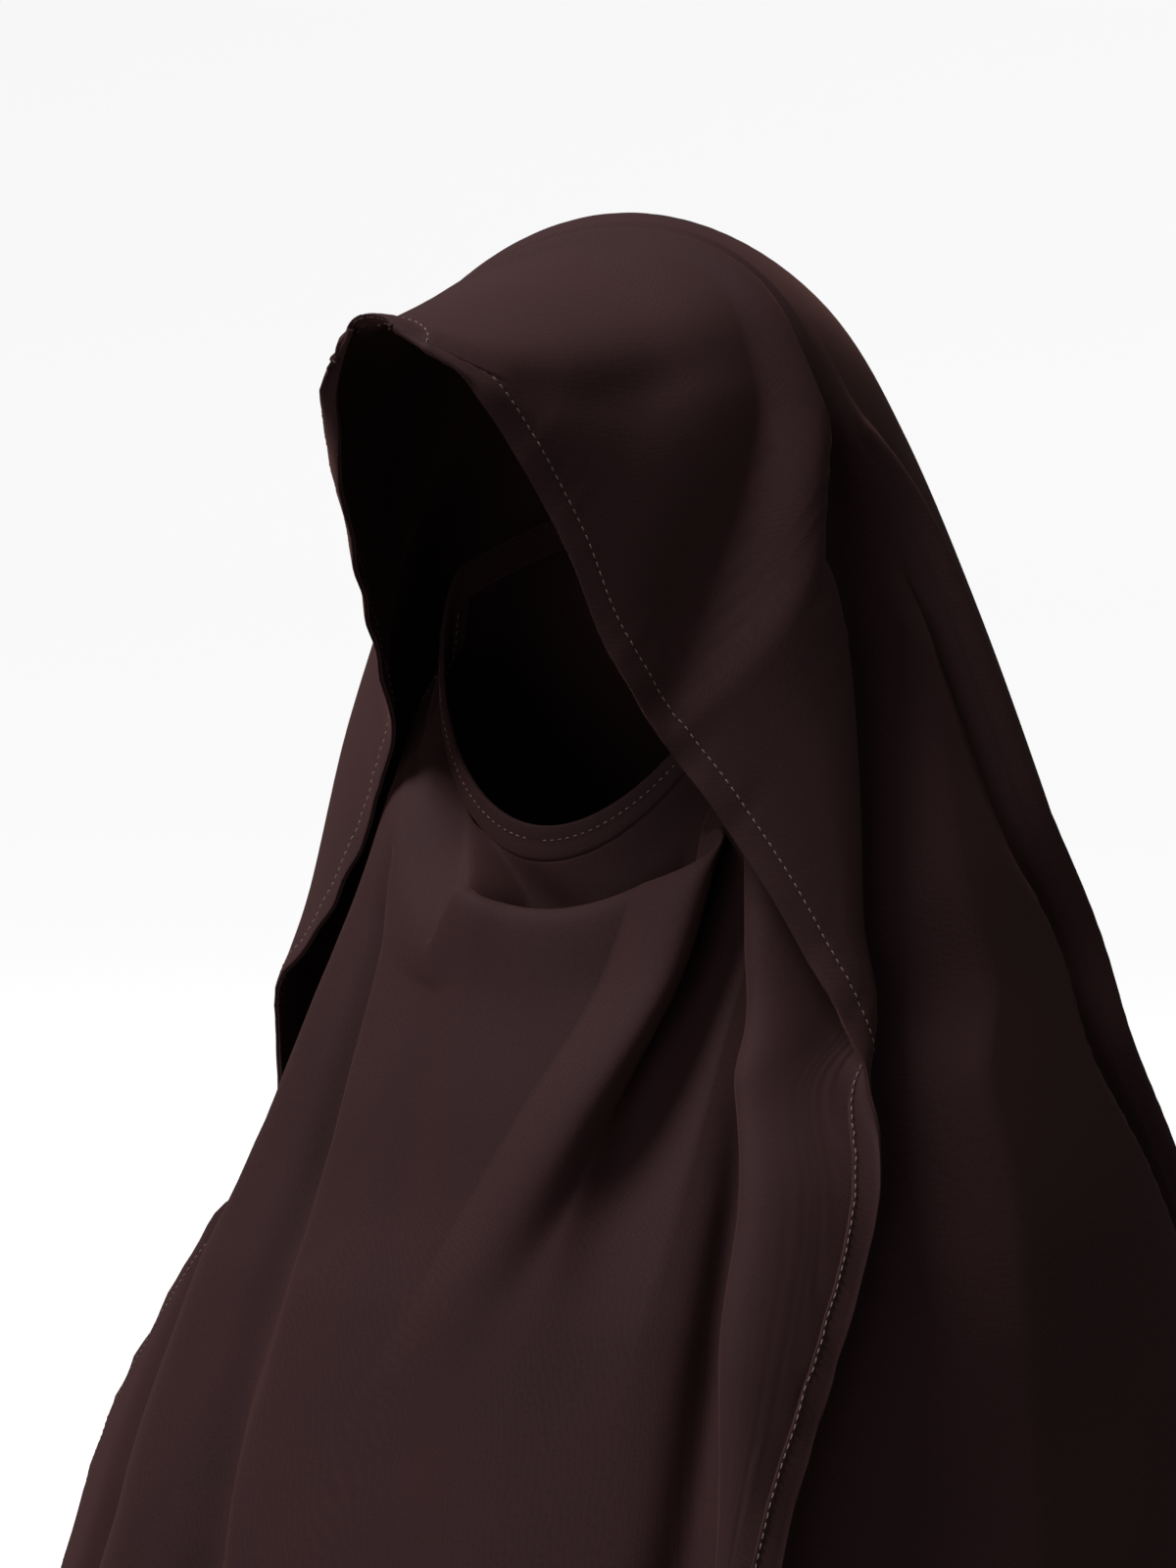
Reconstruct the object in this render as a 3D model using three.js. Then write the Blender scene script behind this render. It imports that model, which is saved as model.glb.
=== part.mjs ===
// A khimar: a hooded veil with an open face edge, and a chest panel that hangs from a chin band.
// Millimetres, +Z up. The wearer faces -Y and the wearer's left is +X.
// The origin is the underside of the cloth at the top of the crown, where the hood rests.
import * as THREE from 'three';

// Driving dimensions
const SHOULDER_HALF_WIDTH = 200; // every share across (x) is of this
const SHOULDER_DEPTH = 200; // every share front to back (y) is of this
const BUST_DROP = 400; // crown to bust line: heights 0 to 1
const LENGTH = 900; // crown to the lowest hem: heights 1 to 2 share what lies below the bust line
const VEIL_WALL = 1.4; // crepe with its hand, one layer
const PANEL_WALL = 1.4;
const HEM_WIDTH = 11; // turned hem round the veil and the panel
const HEM_WALL = 1.2; // the turned layer
const BAND_HEIGHT = 11; // chin band, two layers folded
const BAND_WALL = 2.2;
const LAYER_GAP = 0.35; // between cloth layers that lie on each other
const BAND_SEAT = 2.2; // from the panel's top line up to the band, which clears the panel's slanting wall
const LOOP_HALF_WIDTH = 77; // the band's loop, at its widest
const BAND_BACK_RISE = 0.1; // of the bust drop: how much higher the loop lies at the back than at the sides
const BAND_BACK_GAP = 1.1; // from the band's loop to the middle of the veil's wall at the back

// Cloth colours
const CLOTH = { color: 0x4a302e, roughness: 0.86, metalness: 0 };
const HEM_CLOTH = { color: 0x513632, roughness: 0.86, metalness: 0 };

// Rings of the veil, from the tip over the forehead back over the crown and down to the lowest hem.
// near and far: the hem points on the wearer's left and right; top: the ring's middle at the top or back.
// x and y in hundredths of the shoulder sizes, z as a height (0 crown, 1 bust line, 2 lowest hem).
// near_w, far_w: half widths; back: depth of the rear quarter. The last five describe the front pleat:
// gap: degrees from the hem to its start; phase: how much of it the hem leaves (-180 is all);
// span and reach in degrees; lift: height in hundredths of the shoulder depth.
const RINGS = table(`
  name      near_x near_y near_z  far_x  far_y  far_z  top_y  top_z  near_w far_w  back   gap phase span reach lift
  tip          4.0  -79.5   .120   -4.0  -79.0   .124  -79.0   .112     4.7   4.7   2.0   120  -180   38     0    0
  brow        17.0  -75.5   .164  -13.0  -72.0   .170  -68.0   .112    18.5  16.5  13.0   110  -180   38     0    0
  forehead    24.0  -67.0   .244  -21.0  -62.0   .244  -52.0   .090    27.0  26.0  24.0   130  -180   38     0    0
  temple      29.0  -60.5   .320  -27.0  -51.0   .320  -30.0   .056    34.0  34.0  34.0   138  -180   38     2    1
  crown       33.8  -56.5   .400  -31.0  -40.0   .402   -2.0   .003    42.0  42.0  43.0   54  -180   38     8    3
  cheek       40.8  -49.5   .478  -33.5  -30.0   .488   28.0   .044    48.0  50.0  48.0     4  -180   38    11    8
  jaw         47.8  -45.5   .534  -36.5  -27.5   .536   47.0   .156      55  62.5  50.0     0  -165   38  12.5   10
  nape        56.4  -42.0   .604  -40.5  -30.0   .608   62.0   .326      66  72.5  54.0     0  -148   38  13.5   11
  collar      64.7  -40.0   .668  -47.5  -35.0   .694   75.0   .502      76  76.5  60.0     0  -130   38    14   12
  shoulder    74.0  -38.5   .740  -56.0  -37.5   .750   88.0   .672    83.5  78.0  67.0     0  -110   38    14   13
  twist       79.0  -38.5   .802  -57.5  -37.5   .814   98.0   .818      90    79  75.0     0   -68   38    14   12
  upper_arm   84.0  -46.0   .876  -54.5  -38.0   .880  107.0   .946      96  83.0  80.0     0   -40   38    14   12
  bust        86.0  -62.5   .985  -52.0  -41.0   .990  117.0  1.060   102.0  91.5  86.0     0   -18   38    14   11
  elbow       86.0  -82.5  1.110  -53.5  -47.0  1.120  129.0  1.200   109.0 106.5  94.0     0    10   38    13   10
  waist       88.0 -100.0  1.280  -59.0  -55.0  1.300  140.0  1.380   120.0 125.0 102.0     0    12   38    12    9
  hip         92.0 -115.0  1.560  -67.0  -64.0  1.580  151.0  1.660   136.0 140.0 112.0     0    12   38    12    9
  hem         95.0 -125.0  1.900  -72.0  -68.0  1.920  159.0  2.000   150.0 150.0 120.0     0    12   38    12    9
`);

// Soft folds of the veil: place at the nape and at the bust in degrees round from the front, the rings over
// which the fold grows in, half width in degrees, and height in hundredths of the shoulder depth.
const VEIL_FOLDS = table(`
  name       high   low  from  full  width  lift
  back_near   150   146     6    10      9     4
  back_mid    184   182     7    11      9     6
  back_far    218   222     7    11     10     6
  side_far    248   258     7    11      9     5
`);

// Further pleats of the veil, counted in degrees from the front pleat.
const VEIL_PLEATS = table(`
  name       high   low  from  full  span  reach  lift
  side_pleat   18    56   4.5   6.5    16    1.6  -3.5
  rear_pleat   62    90   7.5  10.0    22    1.5  -2.5
`);

// Rows of the chest panel, from under the chin band down. mid: the middle of the front; side: the level line
// through the widest place; near_w and far_w: half widths; near_end and far_end: where the panel stops, in
// degrees from the front; turn: degrees by which the row's lowest place lies towards the near side.
const ROWS = table(`
  name      mid_y   mid_z  side_y  side_z  near_w  far_w  near_end  far_end  turn
  neck      -29.0    .615    -2.5    .380    38.5   38.5        95       95     0
  fall      -29.2    .662    -2.5    .402    38.2   38.6        92       92     4
  hollow    -31.5    .722    -3.5    .432    38.0   39.0        90       90    10
  cowl      -41.5    .662    -5.5    .446    41.0   40.0        88       88    14
  rim       -48.0    .655    -7.0    .475    45.5   41.5        86       84    14
  breast    -52.0    .732    -8.0    .565    51.0   45.0        82       76    10
  chest     -59.5    .825    -8.0    .685    59.0   54.0        76       66     5
  crossing  -67.5    .935    -7.0    .840    69.0   68.5        70       52     0
  bust      -79.0   1.060    -5.0   1.025    82.5   92.0        65       57     0
  elbow     -91.0   1.200    -3.0   1.190    98.0  114.0        60       63     0
  waist    -105.0   1.400    -2.0   1.400   114.0  129.0        56       64     0
  hip      -119.0   1.660    -1.0   1.670   129.0  140.0        54       64     0
  hem      -128.0   1.940     0.0   1.955   139.0  148.0        52       64     0
`);

// Folds of the panel: place in degrees from the front at the rim, the crossing and the elbow row, the rows
// over which the fold grows in, half width in degrees, and height in hundredths of the shoulder depth.
const PANEL_FOLDS = table(`
  name          rim  crossing  elbow  from  full  width  lift
  inner_valley  -46       -29    -19     3     6    3.2  -5.0
  long_fold     -60       -43    -31     3     7    6.5   4.5
  outer_valley  -72       -54    -40     6     8    3.2  -4.5
  small_fold    -40       -32    -14     7     9    2.6   2.0
  chest_valley  -17        -3      8     4     7    6.5  -2.5
  near_valley    72        52     37     6     8    3.6  -4.5
`);

// The deep pleat from under the near cheek towards the middle of the chest: one place for each row
const COWL_PLEAT = {
  places: [66, 65, 64, 61, 57, 48, 35, 24, 15, 12, 12, 12, 12],
  from: 1, full: 3.5, fade: 5, gone: 8.5, span: 36, reach: 7.5, lift: 7.5,
};

// Creases of the cowl: place in degrees and height for each row, and half width. The first crosses the hollow
// under the chin, the second is the rim's far end, which stands up towards the band.
const COWL_CREASES = [
  {
    places: [-6, 6, 18, 25, 28, 28, 28, 28, 28, 28, 28, 28, 28],
    lifts: [0, -2, -3, -1.5, 0, 0, 0, 0, 0, 0, 0, 0, 0],
    width: 8,
  },
  {
    places: [-25, -13, -6, -3, 0, 0, 0, 0, 0, 0, 0, 0, 0],
    lifts: [1, 2.5, 3, 2, 1, 0, 0, 0, 0, 0, 0, 0, 0],
    width: 5,
  },
];

// Where the cowl's rim ends on the far side, in degrees for each row. Beyond it the cloth comes out from the
// band plainly, down to the breast.
const COWL_FAR_EDGE = [-19, -8, -4, -9, -12, -6, 0, 0, 0, 0, 0, 0, 0];
const COWL_EDGE_WIDTH = 5; // half the degrees over which it turns plain
const PLAIN_BULGE = { side: 1.2, front: 2.1, from: -72, to: -42 }; // how soon it comes out, and where

// Numbers of cells
const FRONT_CELLS = 8;
const PLEAT_CELLS = 7;
const SIDE_CELLS = 12;
const BACK_CELLS = 24;
const CELLS_PER_RING = 1.75;
const PANEL_CELLS = { far: 18, pleat: 11, near: 3 };
const CELLS_PER_ROW = 1.6;
const BAND_SIDES = 60;

const SIDE_PLEAT_REACH = 45; // degrees past the front pleat that get narrow cells
const FOLD_TOP = 5; // ring where the veil's folds have their high place
const FOLD_BOTTOM = 12; // and their low place
const RIM_ROW = 4;
const BREAST_ROW = 5;
const CROSSING_ROW = 7;
const ELBOW_ROW = 9;
const LONGEST_STEP = 1.5; // of a wall's vertex at a sharp bend, in walls
const ROUNDING = 0.4; // second wave in a pleat's lift, which rounds its two bends
const BEND_PLACE = 0.3; // of a pleat's span, from its middle to its outer bend
const LEAST_FRONT = 0.5; // least share of the cloth from the hem to the pleat's end that lies before the bend
const SAG_POWER = 1.3; // how sharply a level line hangs down to its middle
const SMALL_STEPS = 400; // steps in which a hem's width is measured along the cloth
const DEG = Math.PI / 180;

// Reads a table with named columns: one array of numbers for each column.
function table(text) {
  const lines = text.trim().split('\n').map((line) => line.trim().split(/\s+/));
  const columns = {};
  lines[0].forEach((name, c) => {
    columns[name] = lines.slice(1).map((line) => (c === 0 ? line[0] : Number(line[c])));
  });
  columns.count = lines.length - 1;
  return columns;
}

const clamp = (value, low, high) => Math.min(Math.max(value, low), high);

function ease(from, to, value) {
  const t = clamp((value - from) / (to - from), 0, 1);
  return t * t * (3 - 2 * t);
}

// Smooth curve through values that stand at whole steps
function curve(values, step) {
  const last = values.length - 1;
  const s = clamp(step, 0, last);
  const i = Math.min(Math.floor(s), last - 1);
  const f = s - i;
  const p1 = values[i];
  const p2 = values[i + 1];
  const p0 = i > 0 ? values[i - 1] : 2 * p1 - p2;
  const p3 = i < last - 1 ? values[i + 2] : 2 * p2 - p1;
  const bend = 2 * p0 - 5 * p1 + 4 * p2 - p3;
  const turn = 3 * p1 - p0 - 3 * p2 + p3;
  return (2 * p1 + (p2 - p0) * f + bend * f * f + turn * f * f * f) / 2;
}

const across = (share) => (share / 100) * SHOULDER_HALF_WIDTH;
const along = (share) => (share / 100) * SHOULDER_DEPTH;

function height(share) {
  const below = Math.max(share - 1, 0);
  return -(Math.min(share, 1) * BUST_DROP + below * (LENGTH - BUST_DROP));
}

// Heights are splined as shares and only then turned into millimetres
const ringX = (name, k) => across(curve(RINGS[name], k));
const ringY = (name, k) => along(curve(RINGS[name], k));
const ringZ = (name, k) => height(curve(RINGS[name], k));

const hemAngle = (x, halfWidth) => Math.asin(clamp(x / halfWidth, 0, 0.99));

// One wave of a pleat: cloth runs on, back and on again. Returns its pull along the ring and its lift.
function pleatWave(phase) {
  const p = clamp(phase, -Math.PI, Math.PI);
  return { pull: Math.sin(p), lift: (Math.sin(p) - ROUNDING * Math.sin(2 * p)) / (1 + ROUNDING / 2) };
}

function frontPleat(k) {
  const phase = Math.max(curve(RINGS.phase, k) * DEG, -Math.PI);
  const span = curve(RINGS.span, k) * DEG;
  const reach = Math.max(curve(RINGS.reach, k), 0) * DEG;
  const gap = Math.max(curve(RINGS.gap, k), 0) * DEG;
  const hemPhase = Math.max(phase - (gap * 2 * Math.PI) / span, -Math.PI);
  const start = hemAngle(ringX('near_x', k), ringX('near_w', k)) + gap - (span * phase) / (2 * Math.PI);
  const centre = start + reach * Math.sin(hemPhase);
  return { centre, span, reach, gap, phase, hemPhase, lift: along(Math.max(curve(RINGS.lift, k), 0)) };
}

// Angles of a ring's two hems on the cloth laid out flat, and its front pleat's outer bend and end
function ringEnds(k) {
  const pleat = frontPleat(k);
  const near = pleat.centre - pleat.gap + (pleat.span * pleat.phase) / (2 * Math.PI);
  const pleatEnd = pleat.centre + pleat.span / 2;
  const bend = pleat.centre - BEND_PLACE * pleat.span;
  const far = 2 * Math.PI - hemAngle(-ringX('far_x', k), ringX('far_w', k));
  return { near, bend, pleatEnd, far };
}

// Height of a soft fold, whose crest stands at a given place
function softFold(folds, i, place, degrees, k) {
  const away = (degrees - place) / folds.width[i];
  return along(folds.lift[i]) * Math.exp(-away * away) * ease(folds.from[i], folds.full[i], k);
}

function veilFoldLift(degrees, k) {
  const slide = clamp((k - FOLD_TOP) / (FOLD_BOTTOM - FOLD_TOP), 0, 1.5);
  let lift = 0;
  for (let i = 0; i < VEIL_FOLDS.count; i += 1) {
    const place = VEIL_FOLDS.high[i] + (VEIL_FOLDS.low[i] - VEIL_FOLDS.high[i]) * slide;
    lift += softFold(VEIL_FOLDS, i, place, degrees, k);
  }
  return lift;
}

function panelFoldLift(degrees, k) {
  const high = clamp((k - RIM_ROW) / (CROSSING_ROW - RIM_ROW), 0, 1);
  const low = clamp((k - CROSSING_ROW) / (ELBOW_ROW - CROSSING_ROW), 0, 1);
  let lift = 0;
  for (let i = 0; i < PANEL_FOLDS.count; i += 1) {
    const { rim, crossing, elbow } = PANEL_FOLDS;
    const place = curve([rim[i], crossing[i], elbow[i]], high + low);
    lift += softFold(PANEL_FOLDS, i, place, degrees, k);
  }
  return lift;
}

// A point of the veil's middle surface: ring k, and flat angle round from the front over the wearer's left
function veilPoint(k, flatAngle) {
  const pleat = frontPleat(k);
  const phase = clamp(((flatAngle - pleat.centre) * 2 * Math.PI) / pleat.span, -Math.PI, Math.PI);
  const wave = pleatWave(phase);
  const hemShare = (Math.PI - phase) / (Math.PI - pleat.hemPhase);
  let angle = flatAngle - pleat.reach * wave.pull;
  let lift = pleat.lift * (pleatWave(pleat.hemPhase).lift * hemShare - wave.lift);
  for (let i = 0; i < VEIL_PLEATS.count; i += 1) {
    const slide = clamp((k - FOLD_TOP) / (FOLD_BOTTOM - FOLD_TOP), 0, 1.5);
    const { high, low } = VEIL_PLEATS;
    const place = pleat.centre + (high[i] + (low[i] - high[i]) * slide) * DEG;
    const side = pleatWave(((flatAngle - place) * 2 * Math.PI) / (VEIL_PLEATS.span[i] * DEG));
    const grown = ease(VEIL_PLEATS.from[i], VEIL_PLEATS.full[i], k);
    angle -= VEIL_PLEATS.reach[i] * DEG * side.pull * grown;
    lift -= along(VEIL_PLEATS.lift[i]) * side.lift * grown;
  }
  lift += veilFoldLift(angle / DEG, k);

  const sin = Math.sin(angle);
  const cos = Math.cos(angle);
  const share = ease(-1, 1, sin);
  const blend = (read, near, far) => read(far, k) + (read(near, k) - read(far, k)) * share;
  const hemY = blend(ringY, 'near_y', 'far_y');
  const hemZ = blend(ringZ, 'near_z', 'far_z');
  const halfWidth = blend(ringX, 'near_w', 'far_w');
  const nearHem = hemAngle(ringX('near_x', k), ringX('near_w', k));
  const farHem = hemAngle(-ringX('far_x', k), ringX('far_w', k));
  const hem = farHem + (nearHem - farHem) * share;
  const topY = ringY('top_y', k);
  const topZ = ringZ('top_z', k);
  const back = ringY('back', k);
  const length = Math.hypot(topY - hemY, topZ - hemZ);
  const wayY = (topY - hemY) / length;
  const wayZ = (topZ - hemZ) / length;
  const depth = cos > 0 ? (length - back) / Math.cos(hem) : back;
  const outX = depth * sin;
  const outAlong = -halfWidth * cos;
  const outLength = Math.hypot(outX, outAlong);
  const x = halfWidth * sin + (lift * outX) / outLength;
  const run = -back - depth * cos + (lift * outAlong) / outLength;
  return new THREE.Vector3(x, topY + run * wayY, topZ + run * wayZ);
}

// A row's middle of the front: the cowl's own line, or the plain one beside its far end
function panelMiddle(name, k, share, cowl) {
  const values = ROWS[name];
  if (k >= BREAST_ROW) return curve(values, k);
  const plain = values[0] + (values[BREAST_ROW] - values[0]) * share;
  return plain + (curve(values, k) - plain) * cowl;
}

// A point of the panel's middle surface: row k, and angle from the front, positive on the wearer's left
function panelPoint(k, flatAngle) {
  const pleatAway = flatAngle / DEG - curve(COWL_PLEAT.places, k);
  const wave = pleatWave((pleatAway * 2 * Math.PI) / COWL_PLEAT.span);
  const grown = ease(COWL_PLEAT.from, COWL_PLEAT.full, k) * (1 - ease(COWL_PLEAT.fade, COWL_PLEAT.gone, k));
  const angle = flatAngle - COWL_PLEAT.reach * DEG * wave.pull * grown;
  let lift = -along(COWL_PLEAT.lift) * wave.lift * grown;
  lift += panelFoldLift(angle / DEG, k);
  for (const { places, lifts, width } of COWL_CREASES) {
    const away = (angle / DEG - curve(places, k)) / width;
    lift += along(curve(lifts, k)) * Math.exp(-away * away);
  }

  const sin = Math.sin(angle);
  const cos = Math.cos(angle);
  const edge = curve(COWL_FAR_EDGE, k);
  const cowl = ease(edge - COWL_EDGE_WIDTH, edge + COWL_EDGE_WIDTH, angle / DEG);
  const step = Math.min(k / BREAST_ROW, 1);
  const { side, front: middle, from: start, to: end } = PLAIN_BULGE;
  const bulge = side + (middle - side) * ease(start, end, angle / DEG);
  const midY = panelMiddle('mid_y', k, 1 - (1 - step) ** bulge, cowl);
  const midZ = panelMiddle('mid_z', k, step, cowl);
  const nearWidth = across(curve(ROWS.near_w, k));
  const farWidth = across(curve(ROWS.far_w, k));
  const halfWidth = farWidth + (nearWidth - farWidth) * ease(-1, 1, sin);
  const sideY = along(curve(ROWS.side_y, k));
  const depth = sideY - along(midY);
  const outX = depth * sin;
  const outY = -halfWidth * cos;
  const outLength = Math.hypot(outX, outY);
  const sideZ = curve(ROWS.side_z, k);
  const front = Math.max(Math.cos(angle - curve(ROWS.turn, k) * DEG * cowl), 0);
  return new THREE.Vector3(
    halfWidth * sin + (lift * outX) / outLength,
    sideY - depth * cos + (lift * outY) / outLength,
    height(sideZ + (midZ - sideZ) * front ** SAG_POWER),
  );
}

// The step after which a line along a surface is a given length away from its edge, folds followed
function stepFor(distance, pointAt, limit) {
  const small = limit / SMALL_STEPS;
  let last = pointAt(0);
  let gone = 0;
  for (let step = small; step < limit; step += small) {
    const point = pointAt(step);
    const next = gone + point.distanceTo(last);
    if (next >= distance) return step - (small * (next - distance)) / (next - gone);
    gone = next;
    last = point;
  }
  return limit;
}

function spread(from, to, cells) {
  return Array.from({ length: cells }, (_, i) => from + ((to - from) * i) / cells);
}

// Levels from 0 to last, with a hem's width marked off at the ends where a hem is turned
function levels(last, density, topStep, bottomStep) {
  const cells = Math.round(last * density);
  return [...(topStep ? [0] : []), ...spread(topStep, last - bottomStep, cells), last - bottomStep, last];
}

function veilGrid() {
  const last = RINGS.count - 1;
  const over = Math.PI;
  const topStep = stepFor(HEM_WIDTH, (step) => veilPoint(step, over), 1);
  const bottomStep = stepFor(HEM_WIDTH, (step) => veilPoint(last - step, over), 1);
  return levels(last, CELLS_PER_RING, topStep, bottomStep).map((k) => {
    const { near, bend, pleatEnd, far } = ringEnds(k);
    const quarter = (far - near) / 4;
    const nearHem = near + stepFor(HEM_WIDTH, (step) => veilPoint(k, near + step), quarter);
    const farHem = far - stepFor(HEM_WIDTH, (step) => veilPoint(k, far - step), quarter);
    const frontEnd = Math.max(bend, nearHem + LEAST_FRONT * (pleatEnd - nearHem));
    const sideEnd = Math.min(pleatEnd + SIDE_PLEAT_REACH * DEG, (pleatEnd + farHem) / 2);
    const angles = [
      near,
      ...spread(nearHem, frontEnd, FRONT_CELLS),
      ...spread(frontEnd, pleatEnd, PLEAT_CELLS),
      ...spread(pleatEnd, sideEnd, SIDE_CELLS),
      ...spread(sideEnd, farHem, BACK_CELLS),
      farHem,
      far,
    ];
    return angles.map((angle) => veilPoint(k, angle));
  });
}

function panelGrid() {
  const last = ROWS.count - 1;
  const bottomStep = stepFor(HEM_WIDTH, (step) => panelPoint(last - step, 0), 1);
  return levels(last, CELLS_PER_ROW, 0, bottomStep).map((k) => {
    const far = -curve(ROWS.far_end, k) * DEG;
    const near = curve(ROWS.near_end, k) * DEG;
    const quarter = (near - far) / 4;
    const farHem = far + stepFor(HEM_WIDTH, (step) => panelPoint(k, far + step), quarter);
    const nearHem = near - stepFor(HEM_WIDTH, (step) => panelPoint(k, near - step), quarter);
    const pleat = curve(COWL_PLEAT.places, k) * DEG;
    const halfPleat = (COWL_PLEAT.span / 2) * DEG;
    const angles = [
      far,
      ...spread(farHem, pleat - halfPleat, PANEL_CELLS.far),
      ...spread(pleat - halfPleat, pleat + halfPleat, PANEL_CELLS.pleat),
      ...spread(pleat + halfPleat, nearHem, PANEL_CELLS.near),
      nearHem,
      near,
    ];
    return angles.map((angle) => panelPoint(k, angle));
  });
}

// Outward steps at a grid's points: each is the mean of its cells' normals, and a little longer at a bend,
// so that a wall offset along them keeps its thickness
function gridNormals(grid) {
  const normals = grid.map((row) => row.map(() => new THREE.Vector3()));
  const counts = grid.map((row) => row.map(() => 0));
  for (let i = 0; i < grid.length - 1; i += 1) {
    for (let j = 0; j < grid[0].length - 1; j += 1) {
      const rising = grid[i][j + 1].clone().sub(grid[i + 1][j]);
      const falling = grid[i + 1][j + 1].clone().sub(grid[i][j]);
      const normal = falling.cross(rising).normalize();
      for (const [r, c] of [[i, j], [i, j + 1], [i + 1, j], [i + 1, j + 1]]) {
        normals[r][c].add(normal);
        counts[r][c] += 1;
      }
    }
  }
  normals.forEach((row, i) => row.forEach((normal, j) => {
    const bend = clamp(counts[i][j] / normal.length(), 1, LONGEST_STEP);
    normal.setLength(bend);
  }));
  return normals;
}

// A closed wall on the cells of a grid that keep() takes, between two distances along the normals
function clothSolid(grid, normals, outer, inner, keep) {
  const positions = [];
  const numbers = new Map();
  const vertex = (i, j, side) => {
    const key = `${i},${j},${side}`;
    if (!numbers.has(key)) {
      const point = grid[i][j].clone().addScaledVector(normals[i][j], side ? inner : outer);
      numbers.set(key, positions.length / 3);
      positions.push(point.x, point.y, point.z);
    }
    return numbers.get(key);
  };
  const index = [];
  const quad = (a, b, c, d) => index.push(a, c, b, a, d, c);
  const kept = (i, j) => i >= 0 && j >= 0 && i < grid.length - 1 && j < grid[0].length - 1 && keep(i, j);
  for (let i = 0; i < grid.length - 1; i += 1) {
    for (let j = 0; j < grid[0].length - 1; j += 1) {
      if (!kept(i, j)) continue;
      const ring = [[i, j], [i, j + 1], [i + 1, j + 1], [i + 1, j]];
      const neighbours = [[i - 1, j], [i, j + 1], [i + 1, j], [i, j - 1]];
      quad(...ring.map(([r, c]) => vertex(r, c, 0)));
      const inside = ring.map(([r, c]) => vertex(r, c, 1));
      quad(inside[0], inside[3], inside[2], inside[1]);
      ring.forEach(([r, c], e) => {
        if (kept(...neighbours[e])) return;
        const [nextR, nextC] = ring[(e + 1) % 4];
        quad(vertex(r, c, 0), vertex(r, c, 1), vertex(nextR, nextC, 1), vertex(nextR, nextC, 0));
      });
    }
  }
  const geometry = new THREE.BufferGeometry();
  geometry.setAttribute('position', new THREE.Float32BufferAttribute(positions, 3));
  geometry.setIndex(index);
  geometry.computeVertexNormals();
  return geometry;
}

function namedMesh(name, geometry, look) {
  const mesh = new THREE.Mesh(geometry, new THREE.MeshStandardMaterial(look));
  mesh.name = name;
  return mesh;
}

// The sheet of cloth and the hem turned to its reverse along the edges that isHem() takes
function sheetWithHem(grid, wall, names, isHem) {
  const normals = gridNormals(grid);
  const under = -(wall / 2 + LAYER_GAP);
  return [
    namedMesh(names.sheet, clothSolid(grid, normals, wall / 2, -wall / 2, () => true), CLOTH),
    namedMesh(names.hem, clothSolid(grid, normals, under, under - HEM_WALL, isHem), HEM_CLOTH),
  ];
}

// Where the veil's middle surface stands at the back, at a height
function backOfHood(veil, z) {
  const nearer = (best, point) => (Math.abs(point.x) < Math.abs(best.x) ? point : best);
  const backs = veil.map((row) => row.reduce(nearer));
  const i = backs.findIndex((point) => point.z < z && point.y > 0);
  const [above, below] = [backs[i - 1], backs[i]];
  return below.y + ((above.y - below.y) * (z - below.z)) / (above.z - below.z);
}

// Chin band: a whole loop, low at the front, up both sides and round the back
function chinBand(veil) {
  const neckZ = curve(ROWS.mid_z, 0);
  const sideZ = curve(ROWS.side_z, 0);
  const centreY = along(ROWS.side_y[0]);
  const frontDepth = centreY - along(ROWS.mid_y[0]);
  const backTop = height(sideZ - BAND_BACK_RISE) + BAND_SEAT + BAND_HEIGHT;
  const backDepth = backOfHood(veil, backTop) - BAND_BACK_GAP - BAND_WALL / 2 - centreY;
  const positions = [];
  const index = [];
  for (let i = 0; i < BAND_SIDES; i += 1) {
    const angle = (i * 2 * Math.PI) / BAND_SIDES;
    const sin = Math.sin(angle);
    const cos = Math.cos(angle);
    const depth = cos > 0 ? frontDepth : backDepth;
    const rise = cos > 0 ? (neckZ - sideZ) * cos ** SAG_POWER : BAND_BACK_RISE * cos;
    const low = height(sideZ + rise) + BAND_SEAT;
    for (const [out, up] of [[0.5, 0], [0.5, 1], [-0.5, 1], [-0.5, 0]]) {
      const wide = LOOP_HALF_WIDTH + out * BAND_WALL;
      const deep = depth + out * BAND_WALL;
      positions.push(wide * sin, centreY - deep * cos, low + up * BAND_HEIGHT);
    }
    const next = ((i + 1) % BAND_SIDES) * 4;
    for (let c = 0; c < 4; c += 1) {
      const d = (c + 1) % 4;
      index.push(i * 4 + c, next + c, next + d, i * 4 + c, next + d, i * 4 + d);
    }
  }
  const geometry = new THREE.BufferGeometry();
  geometry.setAttribute('position', new THREE.Float32BufferAttribute(positions, 3));
  geometry.setIndex(index);
  geometry.computeVertexNormals();
  return namedMesh('chin_band', geometry, HEM_CLOTH);
}

const khimar = new THREE.Group();
const veil = veilGrid();
const veilEdge = (i, j) => i === 0 || j === 0 || i === veil.length - 2 || j === veil[0].length - 2;
khimar.add(...sheetWithHem(veil, VEIL_WALL, { sheet: 'veil', hem: 'veil_hem' }, veilEdge));

const panel = panelGrid();
const panelEdge = (i, j) => j === 0 || i === panel.length - 2 || j === panel[0].length - 2;
khimar.add(...sheetWithHem(panel, PANEL_WALL, { sheet: 'chest_panel', hem: 'panel_hem' }, panelEdge));

khimar.add(chinBand(veil));

export default khimar;
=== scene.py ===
"""A khimar in dark brown crepe, worn: a hooded veil with an open face edge, and a chest panel that hangs
from a chin band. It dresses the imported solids: every piece is rebuilt finely where its solid stands."""

import math

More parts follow.
